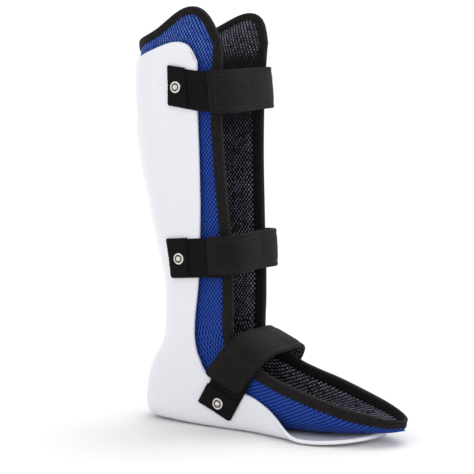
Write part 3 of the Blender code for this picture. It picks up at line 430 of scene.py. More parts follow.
class Body:
    """A lofted shoe shape: where its back, edge, sides and corners are at every station."""

    def __init__(self, back, edge, half_width, flare, flat, corner, top, twist, toe_start,
                 toe):
        self.back = fine_outline(back)
        self.edge = fine_outline(edge)
        self.half_width = monotone(half_width)
        self.flare = monotone(flare)
        self.flat = monotone(flat)
        self.corner = monotone(corner)
        self.top = monotone(top)
        self.twist = monotone(twist)
        self.toe_start = toe_start
        self.toe = toe

    def toe_share(self, station):
        """1 behind the toe's start, falling along an ellipse to 0 at the toe's tip."""
        x = PIVOT_X + station - heel(270.0)
        if x <= self.toe_start:
            return 1.0
        return math.sqrt(max(0.0, 1 - ((x - self.toe_start) / (self.toe - self.toe_start)) ** 2))

    def section(self, station):
        """Half of the U section as points (height above the back, y), from the middle to the edge."""
        back = reach(self.back, station)
        height = back - reach(self.edge, station)
        half = self.half_width(station)
        flat = half * self.flat(station)
        corner = self.corner(station)
        narrowing = self.toe_share(station)
        turn = math.acos(max(0.0, 1 - height / corner))
        outline = [(0.0, 0.0), (0.0, flat)] if flat > 0 else [(0.0, 0.0)]
        for k in range(1, CORNER_STEPS + 1):
            angle = turn * k / CORNER_STEPS
            outline.append((corner * (1 - math.cos(angle)), flat + (half - flat) * math.sin(angle)))
        if height > corner:
            outline.append((height, half + (height - corner) * self.flare(station)))
        return back, np.array([(h, y * narrowing) for h, y in outline])

    def row(self, station, shares):
        """Points at shares of the section's length: 0 is the back's middle, 1 and -1 the edges."""
        back, outline = self.section(station)
        steps = np.hypot(*np.diff(outline, axis=0).T)
        lengths = np.concatenate([[0.0], np.cumsum(steps)])
        goal = np.abs(shares) * lengths[-1]
        h = np.interp(goal, lengths, outline[:, 0])
        y = np.interp(goal, lengths, outline[:, 1]) * np.where(shares < 0, -1.0, 1.0)
        (ox, oz), (ex, ez) = plane_at(station)
        shift = y * self.twist(station) * np.abs(shares) ** TWIST_POWER
        return np.stack([ox + ex * (back - h) + shift, y, oz + ez * (back - h)], axis=1)

    def grid(self):
        """Rows of points, from the calf's top edge to the tip of the toe."""
        shares = np.linspace(-1, 1, 2 * HALF_COLUMNS + 1)
        rows = []
        for k in range(TOP_ROWS):
            blend = k / TOP_ROWS
            heights = [self.top(s) * (1 - blend) + BLEND_TOP * blend for s in shares]
            rows.append(np.concatenate([self.row(leg(z), np.array([s]))
                                        for s, z in zip(shares, heights)]))
        stations = list(np.arange(leg(BLEND_TOP), 0.0, LEG_STEP))
        stations += [heel(a) for a in np.arange(180.0, 270.0, HEEL_STEP)]
        stations += list(np.arange(foot(PIVOT_X), foot(self.toe_start) - LEG_STEP / 2, LEG_STEP))
        for k in range(TOE_ROWS + 1):
            run = math.sin(math.pi / 2 * k / TOE_ROWS)
            stations.append(foot(self.toe_start + (self.toe - self.toe_start) * run))
        rows += [self.row(station, shares) for station in stations]
        return np.array(rows)


def smoothed(grid, passes):
    """Evens out the loft's curvature, and keeps its border and the toe's tip in place."""
    for count in range(passes):
        new = grid.copy()
        around = (grid[:-2, 1:-1] + grid[2:, 1:-1] + grid[1:-1, :-2] + grid[1:-1, 2:]) / 4
        new[1:-1, 1:-1] = (grid[1:-1, 1:-1] + around) / 2
        if count < BORDER_SMOOTHING:
            for side in (0, -1):
                new[1:-1, side] = (grid[:-2, side] + 2 * grid[1:-1, side] + grid[2:, side]) / 4
            new[0, 1:-1] = (grid[0, :-2] + 2 * grid[0, 1:-1] + grid[0, 2:]) / 4
        grid = new
    return grid


def add_rib(grid):
    """Push the back of the shell out into its stiffening panel."""
    height = monotone(RIB_HEIGHT)
    for point in grid.reshape(-1, 3):
        if point[0] > RIB_FRONT:
            continue
        across = smoothstep(0, 1, (RIB_HALF_WIDTH + RIB_RAMP - abs(point[1])) / RIB_RAMP)
        lift = height(leg(point[2])) * across
        point += (-lift, -lift * point[1] * RIB_SPREAD, 0.0)


# ---------------------------------------------------------------- meshes

class Guide:
    """A welded open surface over a grid, with what the layers on it need at each of its points."""

    def __init__(self, grid):
        rows, columns, _ = grid.shape
        across = np.linalg.norm(np.diff(grid, axis=1), axis=2)
        from_near = np.concatenate([np.zeros((rows, 1)), np.cumsum(across, axis=1)], axis=1)
        u = np.minimum(from_near, from_near[:, -1:] - from_near)
        step = np.linalg.norm(np.diff(grid[:, 0], axis=0), axis=1)
        v = np.concatenate([[0.0], np.cumsum(step)])[:, None] * np.ones((1, columns))
        down = np.linalg.norm(np.diff(grid[:TOP_ROWS + 1], axis=0), axis=2)
        v[:TOP_ROWS] = v[TOP_ROWS] - np.cumsum(down[::-1], axis=0)[::-1]
        shape = bmesh.new()
        layer = shape.verts.layers.float_vector.new("weave")
        verts = []
        for point, a, b in zip(grid.reshape(-1, 3), u.ravel(), v.ravel()):
            vert = shape.verts.new(point)
            vert[layer] = (a, b, 0.0)
            verts.append(vert)
        for r in range(rows - 1):
            for c in range(columns - 1):
                k = r * columns + c
                shape.faces.new((verts[k], verts[k + 1], verts[k + columns + 1], verts[k + columns]))
        bmesh.ops.remove_doubles(shape, verts=shape.verts, dist=2e-5)
        shape.verts.index_update()
        shape.verts.ensure_lookup_table()
        shape.normal_update()
        self.points = [v.co.copy() for v in shape.verts]
        self.normals = [v.normal.copy() for v in shape.verts]
        self.weave = [tuple(v[layer]) for v in shape.verts]
        self.faces = [[v.index for v in f.verts] for f in shape.faces]
        self.loop = self.border(shape)
        self.inward = {}
        for vert in shape.verts:
            if vert.is_boundary:
                self.inward[vert.index] = self.way_in(vert)
        shape.free()
        tree = KDTree(len(self.loop))
        for index in self.loop:
            tree.insert(self.points[index], index)
        tree.balance()
        self.edge_distance = [tree.find(point)[2] for point in self.points]
        self.surface = BVHTree.FromPolygons(self.points, self.faces)

    @staticmethod
    def border(shape):
        """The border's vertex indices in order, starting where the first edge is found."""
        start = next(e for e in shape.edges if e.is_boundary)
        loop = [start.verts[0], start.verts[1]]
        while True:
            edges = [e for e in loop[-1].link_edges if e.is_boundary]
            onward = [e.other_vert(loop[-1]) for e in edges if e.other_vert(loop[-1]) != loop[-2]]
            if onward[0] == loop[0]:
                return [v.index for v in loop]
            loop.append(onward[0])

    @staticmethod
    def way_in(vert):
        """The direction from a border point into the surface, square to the border."""
        ends = [e.other_vert(vert).co for e in vert.link_edges if e.is_boundary]
        tangent = (ends[0] - ends[1]).normalized()
        centre = Vector()
        for face in vert.link_faces:
            centre += face.calc_center_median() / len(vert.link_faces)
        way = centre - vert.co
        way -= vert.normal * way.dot(vert.normal)
        way -= tangent * way.dot(tangent)
        return way.normalized()


def finish_mesh(name, shape, materials):
    """An object made from a bmesh, smooth shaded."""
    mesh = bpy.data.meshes.new(name)
    shape.to_mesh(mesh)
    shape.free()
    for polygon in mesh.polygons:
        polygon.use_smooth = True
    for material in materials:
        mesh.materials.append(material)
    piece = bpy.data.objects.new(name, mesh)
    bpy.context.scene.collection.objects.link(piece)
    return piece


def sheet_between(name, guide, outer_depth, inner_depth, rim, materials, rim_steps=5):
    """A closed sheet between two depths under a guide surface, with a rounded rim.

    outer_depth and inner_depth give a depth for each point's index, and rim is the rounding's
    radius. Its faces take material 0 outside and the last material inside.
    """
    shape = bmesh.new()
    layer = shape.verts.layers.float_vector.new("weave")

    def vertex(place, weave):
        new = shape.verts.new(place)
        new[layer] = weave
        return new

    outer, inner, rims = [], [], {}
    for k, (point, normal, weave) in enumerate(zip(guide.points, guide.normals, guide.weave)):
        top, bottom = outer_depth(k), inner_depth(k)
        if k not in guide.inward:
            outer.append(vertex(point - normal * top, weave))
            inner.append(vertex(point - normal * bottom, weave))
            continue
        radius = min(rim, (bottom - top) * 0.48)
        chain = []
        for step in range(rim_steps + 1):
            angle = math.pi / 2 * step / rim_steps
            chain.append((radius * (1 - math.sin(angle)), top + radius * (1 - math.cos(angle))))
        for step in range(rim_steps + 1):
            angle = math.pi / 2 * (1 - step / rim_steps)
            chain.append((radius * (1 - math.sin(angle)), bottom - radius * (1 - math.cos(angle))))
        ring = [vertex(point + guide.inward[k] * into - normal * depth, weave)
                for into, depth in chain]
        outer.append(ring[0])
        inner.append(ring[-1])
        rims[k] = ring
    last = len(materials) - 1
    for face in guide.faces:
        shape.faces.new([outer[c] for c in face])
        shape.faces.new([inner[c] for c in reversed(face)]).material_index = last
    for first, second in zip(guide.loop, guide.loop[1:] + guide.loop[:1]):
        for a, b, c, d in zip(rims[first], rims[second], rims[second][1:], rims[first][1:]):
            shape.faces.new((a, b, c, d))
    bmesh.ops.recalc_face_normals(shape, faces=shape.faces)
    return finish_mesh(name, shape, materials)


def rings_mesh(name, rings, weaves, materials, closed, inside=()):
    """A solid through rings of points; closed joins the last ring to the first.

    weaves holds each ring's (u, v) pairs, and inside the ring positions whose faces take the last
    material.
    """
    shape = bmesh.new()
    layer = shape.verts.layers.float_vector.new("weave")
    loops = []
    for ring, weave in zip(rings, weaves):
        loop = []
        for point, (u, v) in zip(ring, weave):
            vert = shape.verts.new(point)
            vert[layer] = (u, v, 0.0)
            loop.append(vert)
        loops.append(loop)
    pairs = list(zip(loops, loops[1:]))
    if closed:
        pairs.append((loops[-1], loops[0]))
    count = len(rings[0])
    for first, second in pairs:
        for k in range(count):
            after = (k + 1) % count
            face = shape.faces.new((first[k], first[after], second[after], second[k]))
            if k in inside:
                face.material_index = len(materials) - 1
    if not closed:
        for loop in (loops[0], loops[-1]):
            middle = Vector()
            for vert in loop:
                middle += vert.co / count
            centre = shape.verts.new(middle)
            centre[layer] = loop[0][layer]
            for k in range(count):
                shape.faces.new((loop[k], loop[(k + 1) % count], centre))
    bmesh.ops.recalc_face_normals(shape, faces=shape.faces)
    return finish_mesh(name, shape, materials)


def turned(name, profile, place, outward, material, sides=40):
    """A round piece: profile is (radius, height) from its top's middle round to its base."""
    turn = outward.to_track_quat("Z", "X").to_matrix()
    shape = bmesh.new()
    rings = []
    for radius, height in profile:
        if radius < 1e-6:
            rings.append([shape.verts.new(place + turn @ Vector((0, 0, height)))] * sides)
            continue
        ring = []
        for k in range(sides):
            angle = 2 * math.pi * k / sides
            local = Vector((radius * math.cos(angle), radius * math.sin(angle), height))
            ring.append(shape.verts.new(place + turn @ local))
        rings.append(ring)
    if profile[0][0] > 1e-6:
        rings.append(rings[0])
    for upper, lower in zip(rings, rings[1:]):
        for k in range(sides):
            after = (k + 1) % sides
            corners = []
            for vert in (upper[k], upper[after], lower[after], lower[k]):
                if vert not in corners:
                    corners.append(vert)
            shape.faces.new(corners)
    bmesh.ops.recalc_face_normals(shape, faces=shape.faces)
    return finish_mesh(name, shape, [material])


def capsules(name, spans, radius, material):
    """Short threads: each span is (start, end, the way that faces out)."""
    shape = bmesh.new()
    sides, steps = 6, 6
    for start, end, out in spans:
        along = (end - start).normalized()
        across = along.cross(out).normalized()
        rings = []
        for step in range(steps + 1):
            t = step / steps
            size = radius * max(0.25, math.sin(math.pi * t)) ** 0.5
            middle = start + (end - start) * t + out * radius * (math.sin(math.pi * t) - 0.4)
            ring = []
            for k in range(sides):
                angle = 2 * math.pi * k / sides
                ring.append(shape.verts.new(middle + across * size * math.cos(angle)
                                            + out * size * math.sin(angle)))
            rings.append(ring)
        for first, second in zip(rings, rings[1:]):
            for k in range(sides):
                after = (k + 1) % sides
                shape.faces.new((first[k], first[after], second[after], second[k]))
        shape.faces.new(rings[0])
        shape.faces.new(rings[-1])
    bmesh.ops.recalc_face_normals(shape, faces=shape.faces)
    return finish_mesh(name, shape, [material])


# ---------------------------------------------------------------- materials

class Look:
    """A node material that is being put together."""

    def __init__(self, name, colour, roughness, **sockets):
        self.material = bpy.data.materials.new(name)
        self.material.use_nodes = True
        self.material.diffuse_color = (*colour, 1.0)
        self.tree = self.material.node_tree
        self.shader = self.tree.nodes["Principled BSDF"]
        self.shader.inputs["Base Color"].default_value = (*colour, 1.0)
        self.shader.inputs["Roughness"].default_value = roughness
        for socket, value in sockets.items():
            self.shader.inputs[socket.replace("_", " ")].default_value = value

    def node(self, kind, **settings):
        new = self.tree.nodes.new(kind)
        for name, value in settings.items():
            setattr(new, name, value)
        return new

    def put(self, socket, value):
        """Link a socket or set a number."""
        if isinstance(value, bpy.types.NodeSocket):
            self.tree.links.new(value, socket)
        else:
            socket.default_value = value

    def sum(self, operation, first, second=0.0, third=None):
        """A Math node's output."""
        new = self.node("ShaderNodeMath", operation=operation)
        self.put(new.inputs[0], first)
        self.put(new.inputs[1], second)
        if third is not None:
            self.put(new.inputs[2], third)
        return new.outputs[0]

    def ramp(self, value, low, high, start=0.0, end=1.0):
        """A smooth rise from start to end as value goes from low to high."""
        new = self.node("ShaderNodeMapRange", interpolation_type="SMOOTHSTEP")
        for socket, number in zip(new.inputs, (value, low, high, start, end)):
            self.put(socket, number)
        return new.outputs[0]

    def mix(self, share, first, second):
        """A mix of two colours, each an (r, g, b) or a socket."""
        new = self.node("ShaderNodeMix", data_type="RGBA")
        self.put(new.inputs["Factor"], share)
        for socket, value in ((new.inputs[6], first), (new.inputs[7], second)):
            self.put(socket, value if isinstance(value, bpy.types.NodeSocket) else (*value, 1.0))
        return new.outputs[2]

    def noise(self, scale, detail=2.0, vector=None):
        """A noise texture's value over the object, or over a vector."""
        new = self.node("ShaderNodeTexNoise")
        new.inputs["Scale"].default_value = scale
        new.inputs["Detail"].default_value = detail
        source = vector or self.node("ShaderNodeTexCoord").outputs["Object"]
        self.tree.links.new(source, new.inputs["Vector"])
        return new.outputs["Fac"]

    def weave(self):
        """The two cloth coordinates, in metres."""
        attribute = self.node("ShaderNodeAttribute", attribute_name="weave")
        split = self.node("ShaderNodeSeparateXYZ")
        self.tree.links.new(attribute.outputs["Vector"], split.inputs[0])
        return split.outputs[0], split.outputs[1]

    def place(self):
        """The object's own x, y and z."""
        split = self.node("ShaderNodeSeparateXYZ")
        coordinate = self.node("ShaderNodeTexCoord").outputs["Object"]
        self.tree.links.new(coordinate, split.inputs[0])
        return split.outputs[0], split.outputs[1], split.outputs[2]

    def wave(self, value, pitch, phase=0.0):
        """A cosine of a coordinate, with the given pitch in metres."""
        return self.sum("COSINE", self.sum("MULTIPLY_ADD", value, 2 * math.pi / pitch, phase))

    def bump(self, height, distance, strength=1.0):
        new = self.node("ShaderNodeBump")
        new.inputs["Strength"].default_value = strength
        new.inputs["Distance"].default_value = distance
        self.tree.links.new(height, new.inputs["Height"])
        self.tree.links.new(new.outputs[0], self.shader.inputs["Normal"])

    def colour(self, socket):
        self.tree.links.new(socket, self.shader.inputs["Base Color"])

    def roughness(self, socket):
        self.tree.links.new(socket, self.shader.inputs["Roughness"])


def shell_look():
    look = Look("white_polypropylene", (0.73, 0.735, 0.785), 0.27, Specular_IOR_Level=0.42,
                Coat_Weight=0.12, Coat_Roughness=0.18)
    cloudy = look.noise(6.0, 2.0)
    look.colour(look.mix(look.ramp(cloudy, 0.3, 0.7), (0.725, 0.731, 0.779), (0.736, 0.740, 0.790)))
    look.roughness(look.ramp(look.noise(20.0, 2.0), 0.3, 0.7, 0.25, 0.29))
    return look.material


def mesh_look(name, thread, hole, painted_glint_colour, glint_zone, sheen):
    """Knitted spacer mesh: staggered holes, and painted glints (painted highlights) on the knots
    between them where the zone says the light falls.
    """
    look = Look(name, thread, 0.62, Specular_IOR_Level=0.11, Sheen_Weight=sheen,
                Sheen_Roughness=0.4)
    u, v = look.weave()
    lattice = look.sum("MULTIPLY", look.wave(u, MESH_PITCH_U), look.wave(v, MESH_PITCH_V))
    holes = look.ramp(lattice, 0.0, 0.42)
    knots = look.ramp(lattice, -0.10, -0.60)
    patchy = look.ramp(look.noise(26.0, 3.0), 0.35, 0.60, 0.65, 1.0)
    sparkle = look.ramp(look.noise(430.0, 2.0), 0.30, 0.60)
    yarn = look.wave(look.sum("ADD", u, v), 0.0006)
    base = look.mix(look.ramp(yarn, -1.0, 1.0, 0.0, 0.35), thread, [c * 0.6 for c in thread])
    base = look.mix(holes, base, hole)
    # Painted highlight: the light speck colour is mixed onto the knots, thinned by random sparkle and
    # patchy noise, and strongest in the lit zone.
    painted_glint = look.sum("MULTIPLY", look.sum("MULTIPLY", knots, sparkle),
                     look.sum("MULTIPLY", patchy, glint_zone(look)))
    look.colour(look.mix(painted_glint, base, painted_glint_colour))
    look.roughness(look.sum("MULTIPLY_ADD", holes, 0.3, 0.5))
    height = look.sum("MULTIPLY_ADD", yarn, 0.08, look.sum("SUBTRACT", 1.0, holes))
    look.bump(height, 0.0006, 0.9)
    return look.material


def blue_glint_zone(look):
    """Where the blue mesh's painted glints show: strong on the calf's wing, where the light falls, and
    weak elsewhere.
    """
    _, _, z = look.place()
    return look.ramp(z, 0.330, 0.352, 0.10, 0.60)


def black_glint_zone(look):
    """Where the black mesh's painted glints show: on its far wall, which faces the light, most below
    the middle strap and on the wing; the shaded back stays dark.
    """
    _, y, z = look.place()
    wall = look.ramp(y, 0.004, 0.022, 0.12, 1.0)
    wing = look.ramp(z, 0.339, 0.353, 0.0, 0.66)
    leg = look.ramp(z, 0.305, 0.255, 0.05, 0.90)
    low = look.ramp(z, 0.205, 0.165, 0.0, 0.55)
    return look.sum("MULTIPLY", wall, look.sum("ADD", wing, look.sum("ADD", leg, low)))


def tape_look():
    look = Look("edge_tape", (0.009, 0.008, 0.008), 0.80, Specular_IOR_Level=0.12, Sheen_Weight=0.04,
                Sheen_Roughness=0.45)
    u, v = look.weave()
    ribs = look.wave(v, 0.0013)
    knit = look.wave(u, 0.0008)
    dusty = look.noise(420.0, 3.0)
    look.colour(look.mix(look.ramp(dusty, 0.35, 0.75), (0.0065, 0.0058, 0.0056),
                         (0.0135, 0.0115, 0.0105)))
    height = look.sum("MULTIPLY_ADD", knit, 0.35, look.sum("MULTIPLY_ADD", dusty, 0.8, ribs))
    look.bump(height, 0.00014, 0.7)
    return look.material


def webbing_look():
    look = Look("webbing", (0.005, 0.005, 0.006), 0.86, Specular_IOR_Level=0.08, Sheen_Weight=0.015,
                Sheen_Roughness=0.5)
    u, v = look.weave()
    pile = look.noise(1500.0, 3.0)
    ribs = look.sum("MULTIPLY", look.wave(u, 0.0011), look.wave(v, 0.0011))
    look.colour(look.mix(look.ramp(pile, 0.4, 0.7), (0.003, 0.003, 0.0035), (0.009, 0.009, 0.0095)))
    look.bump(look.sum("MULTIPLY_ADD", ribs, 0.4, pile), 0.00025, 0.9)
    return look.material


def strap_look():
    look = Look("strap_cloth", (0.008, 0.0068, 0.0072), 0.62, Specular_IOR_Level=0.09,
                Sheen_Weight=0.03, Sheen_Roughness=0.4)
    nap = look.noise(1100.0, 3.0)
    worn = look.noise(45.0, 4.0)
    shade = look.mix(look.ramp(worn, 0.35, 0.7), (0.0052, 0.0042, 0.0045), (0.0090, 0.0076, 0.0080))
    look.colour(look.mix(look.ramp(nap, 0.45, 0.75, 0.0, 0.4), shade, (0.022, 0.0200, 0.0205)))
    look.roughness(look.ramp(worn, 0.3, 0.7, 0.60, 0.74))
    look.bump(look.sum("MULTIPLY_ADD", worn, 0.3, nap), 0.00012, 0.7)
    return look.material


def hook_look():
    look = Look("hook_tape", (0.028, 0.028, 0.030), 0.7, Specular_IOR_Level=0.2)
    u, v = look.weave()
    hooks = look.ramp(look.sum("MULTIPLY", look.wave(u, 0.0022), look.wave(v, 0.0022)), 0.0, 0.7)
    look.colour(look.mix(hooks, (0.018, 0.018, 0.019), (0.060, 0.060, 0.064)))
    look.bump(hooks, 0.0006, 1.0)
    return look.material


def thread_look():
    look = Look("stitching", (0.024, 0.022, 0.023), 0.55, Specular_IOR_Level=0.25)
    look.colour(look.mix(look.ramp(look.noise(700.0), 0.3, 0.7), (0.020, 0.019, 0.020),
                         (0.050, 0.048, 0.050)))
    return look.material


def nickel_look():
    look = Look("nickel_plate", (0.62, 0.59, 0.55), 0.2, Metallic=1.0)
    rubbed = look.noise(420.0, 4.0)
    look.roughness(look.ramp(rubbed, 0.3, 0.75, 0.16, 0.34))
    look.colour(look.mix(look.ramp(rubbed, 0.45, 0.8), (0.64, 0.61, 0.57), (0.44, 0.41, 0.37)))
    look.bump(rubbed, 0.00004, 0.4)
    return look.material


def painted_groove_shade_look():
    """Painted shade: a dull, dark metal for the groove between a rivet's dome and its ring, darkened
    as if in shadow.
    """
    look = Look("rivet_groove_painted_shade", (0.05, 0.045, 0.040), 0.5, Metallic=0.6)
    look.roughness(look.ramp(look.noise(420.0, 3.0), 0.3, 0.7, 0.4, 0.65))
    return look.material


LOOKS = {
    "shell": shell_look(),
    # Each mesh's third colour is the colour of its painted highlights, the glints on its knots.
    "blue_mesh": mesh_look("blue_spacer_mesh", (0.0095, 0.053, 0.355), (0.001, 0.004, 0.035),
                           (0.24, 0.38, 0.80), blue_glint_zone, 0.02),
    "black_mesh": mesh_look("black_spacer_mesh", (0.014, 0.013, 0.015), (0.003, 0.003, 0.004),
                            (0.38, 0.37, 0.52), black_glint_zone, 0.02),
    "binding": tape_look(),
    "webbing": webbing_look(),
    "strap": strap_look(),
    "hook": hook_look(),
    "thread": thread_look(),
    "nickel": nickel_look(),
    # painted shade for the rivets' grooves
    "painted_groove_shade": painted_groove_shade_look(),
}


# ---------------------------------------------------------------- shell and liner

def constant(value):
    return lambda index: value


def build_shell():
    body = Body(SHELL_BACK, SHELL_EDGE, SHELL_HALF_WIDTH, SHELL_FLARE, SHELL_FLAT, SHELL_CORNER,
                SHELL_TOP, SHELL_TWIST, SHELL_TOE_START, SHELL_TOE)
    grid = smoothed(body.grid(), SMOOTHING)
    add_rib(grid)
    grid = smoothed(grid, RIB_SMOOTHING)
    guide = Guide(grid)
    shell = sheet_between("shell_moulding", guide, constant(0.0), constant(SHELL_THICKNESS), SHELL_RIM,
                          [LOOKS["shell"]])
    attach(shell, "brace")
    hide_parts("shell")
    return guide


def thinning(x):
    """Share of its thickness that the liner keeps at x."""
    return 1.0 - (1.0 - LINER_TIP_SHARE) * smoothstep(LINER_THIN_START, LINER_TOE, x)


def padding(guide, index, seed):
    """How far the liner's face stands in from the guide: pressed at the tape, puffed beside it."""
    distance = guide.edge_distance[index]
    point = guide.points[index]
    pressed = PRESSED * (1 - smoothstep(PRESSED_WIDTH, PUFF_PLACE, distance))
    swell = PUFF * math.exp(-((distance - PUFF_PLACE) / PUFF_WIDTH) ** 2)
    waver = WAVER * noise.noise(Vector((point.x * 55, point.y * 55 + seed, point.z * 38)))
    return pressed - swell * thinning(point.x) - waver * smoothstep(0.004, 0.02, distance)


def build_liner():
    body = Body(LINER_BACK, LINER_EDGE, LINER_HALF_WIDTH, LINER_FLARE, LINER_FLAT, LINER_CORNER,
                LINER_TOP, LINER_TWIST, LINER_TOE_START, LINER_TOE)
    guide = Guide(smoothed(body.grid(), SMOOTHING))
    total = [LINER_THICKNESS * thinning(point.x) for point in guide.points]

    outer = sheet_between(
        "liner_outer_pad", guide, lambda k: padding(guide, k, 0.0),
        lambda k: total[k] * 0.5, LINER_RIM, [LOOKS["blue_mesh"]])
    inner = sheet_between(
        "liner_inner_pad", guide, lambda k: total[k] * 0.5 + 0.00005,
        lambda k: total[k] - padding(guide, k, 7.0), LINER_RIM, [LOOKS["black_mesh"]])
    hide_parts("liner_outer_mesh", "liner_foam")
    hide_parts("liner_inner_mesh")
    for pad in (outer, inner):
        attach(pad, "brace")
    build_tape(guide, total)
    build_hook_strips()


def build_tape(guide, total):
    """The folded tape sewn round the liner's whole edge."""
    shares = (1.0, 0.8, 0.6, 0.4, 0.2, 0.0)
    rings, weaves, along = [], [], 0.0
    previous = None
    for index in guide.loop:
        place, normal, inward = guide.points[index], guide.normals[index], guide.inward[index]
        if previous is not None:
            along += (place - previous).length
        previous = place
        toe = min(1.0, max(0.0, (LINER_TOE - place.x) / TAPE_TOE_RUN))
        width = TAPE_TOE_WIDTH + (TAPE_WIDTH - TAPE_TOE_WIDTH) * toe
        width += (TAPE_TOP_WIDTH - TAPE_WIDTH) * smoothstep(TAPE_TOP_START, LINER_HIGH, place.z)
        depth = total[index]
        stops = []
        for share in shares:
            spot, out, _, _ = guide.surface.find_nearest(place + inward * width * share)
            if share == 0.0:
                spot, out = place, normal
            crown = math.sin(math.pi * min(1.0, 0.12 + share * 0.9)) ** 0.5
            stops.append((spot, out, TAPE_FACE * (0.62 + 0.38 * crown)))
        ring, weave, run = [], [], 0.0
        for spot, out, lift in stops:
            ring.append(spot + out * lift)
        middle = -depth / 2
        half = depth / 2 + TAPE_FACE * 0.75
        for step in range(1, 7):
            angle = math.pi * step / 7
            ring.append(place - inward * TAPE_LIP * math.sin(angle) ** 0.6
                        + normal * (middle + half * math.cos(angle)))
        for spot, out, lift in reversed(stops):
            ring.append(spot - out * (depth + lift))
        for spot, out, _ in (stops[0], stops[2], stops[5]):
            ring.append(spot - out * (depth - PRESSED + TAPE_INSIDE))
        ring.append(place - inward * 0.0006 - normal * (depth * 0.72))
        ring.append(place - inward * 0.0006 - normal * (depth * 0.28))
        for spot, out, _ in (stops[5], stops[2], stops[0]):
            ring.append(spot + out * (TAPE_INSIDE - PRESSED))
        for first, second in zip(ring, ring[1:] + ring[:1]):
            weave.append((run, along))
            run += (second - first).length
        rings.append(ring)
        weaves.append(weave)
    tape = rings_mesh("liner_edge_tape", rings, weaves, [LOOKS["binding"]], closed=True)
    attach(tape, "brace")
    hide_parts("liner_binding")


def build_hook_strips():
    """The hook strips between liner and shell keep their CAD solids, with a hook tape finish."""
    for name in ("calf_near_hook_strip", "calf_far_hook_strip", "sole_hook_strip"):
        node = frame["nodes"][name]
        node.data.materials.clear()
        node.data.materials.append(LOOKS["hook"])


# ---------------------------------------------------------------- straps

class Strap:
    """One strap's path round the leg, in its own plane."""

    def __init__(self, facts, line):
        self.facts = facts
        half = facts["shell_half_width"] + PAD_INNER
        depth = facts["front"] - facts["s0"]
        power = 2.0 / facts["power"]
        start = facts["tab_start"] - PATH_LEAD
        straight = [(s, -half) for s in np.linspace(start, facts["s0"], 60)[:-1]]
        arc = []
        for angle in np.linspace(-math.pi / 2, math.pi / 2, 721):
            arc.append((facts["s0"] + depth * abs(math.cos(angle)) ** power,
                        half * math.copysign(abs(math.sin(angle)) ** power, angle)))
        path = np.array(straight + arc + [(s, -y) for s, y in reversed(straight)])
        lengths = np.concatenate([[0], np.cumsum(np.hypot(*np.diff(path, axis=0).T))])
        self.length = lengths[-1]
        self.even = np.linspace(0, self.length, PATH_POINTS)
        fine = np.stack([np.interp(self.even, lengths, path[:, k]) for k in (0, 1)], axis=1)
        self.path = relaxed(fine, PATH_SMOOTHING)
        self.centre = monotone(facts[line])

    def length_at(self, side, s):
        """Distance along the path where it passes s on the near side (-1) or the far side (1)."""
        half = len(self.even) // 2
        part = slice(0, half) if side < 0 else slice(half, None)
        order = np.argsort(self.path[part, 0])
        return float(np.interp(s, self.path[part, 0][order], self.even[part][order]))

    def frame_at(self, distance):
        """Place, outward normal, and way along the path, at a distance along it."""
        facts = self.facts
        step = self.length / (len(self.even) - 1)
        here, before, after = (
            np.array([np.interp(distance + d, self.even, self.path[:, k]) for k in (0, 1)])
            for d in (0.0, -step, step))
        ds, dy = (after - before) / np.hypot(*(after - before))
        share = (distance - PATH_LEAD) / (self.length - 2 * PATH_LEAD)
        centre = self.centre(min(1.0, max(0.0, share)))
        sideways = Vector((0, 1, 0))
        place = facts["forward"] * here[0] + sideways * here[1] + facts["rise"] * centre
        normal = facts["forward"] * dy - sideways * ds
        along = facts["forward"] * ds + sideways * dy
        return place, normal, along


def settle_on(surface, point, outward, clearance):
    """How far a point must move in, against outward, to lie clearance above a surface."""
    hit = surface.ray_cast(point + outward * 0.02, -outward, 0.05)
    if hit[0] is None:
        return None
    return max(0.0, (point - hit[0]).dot(outward) - clearance)


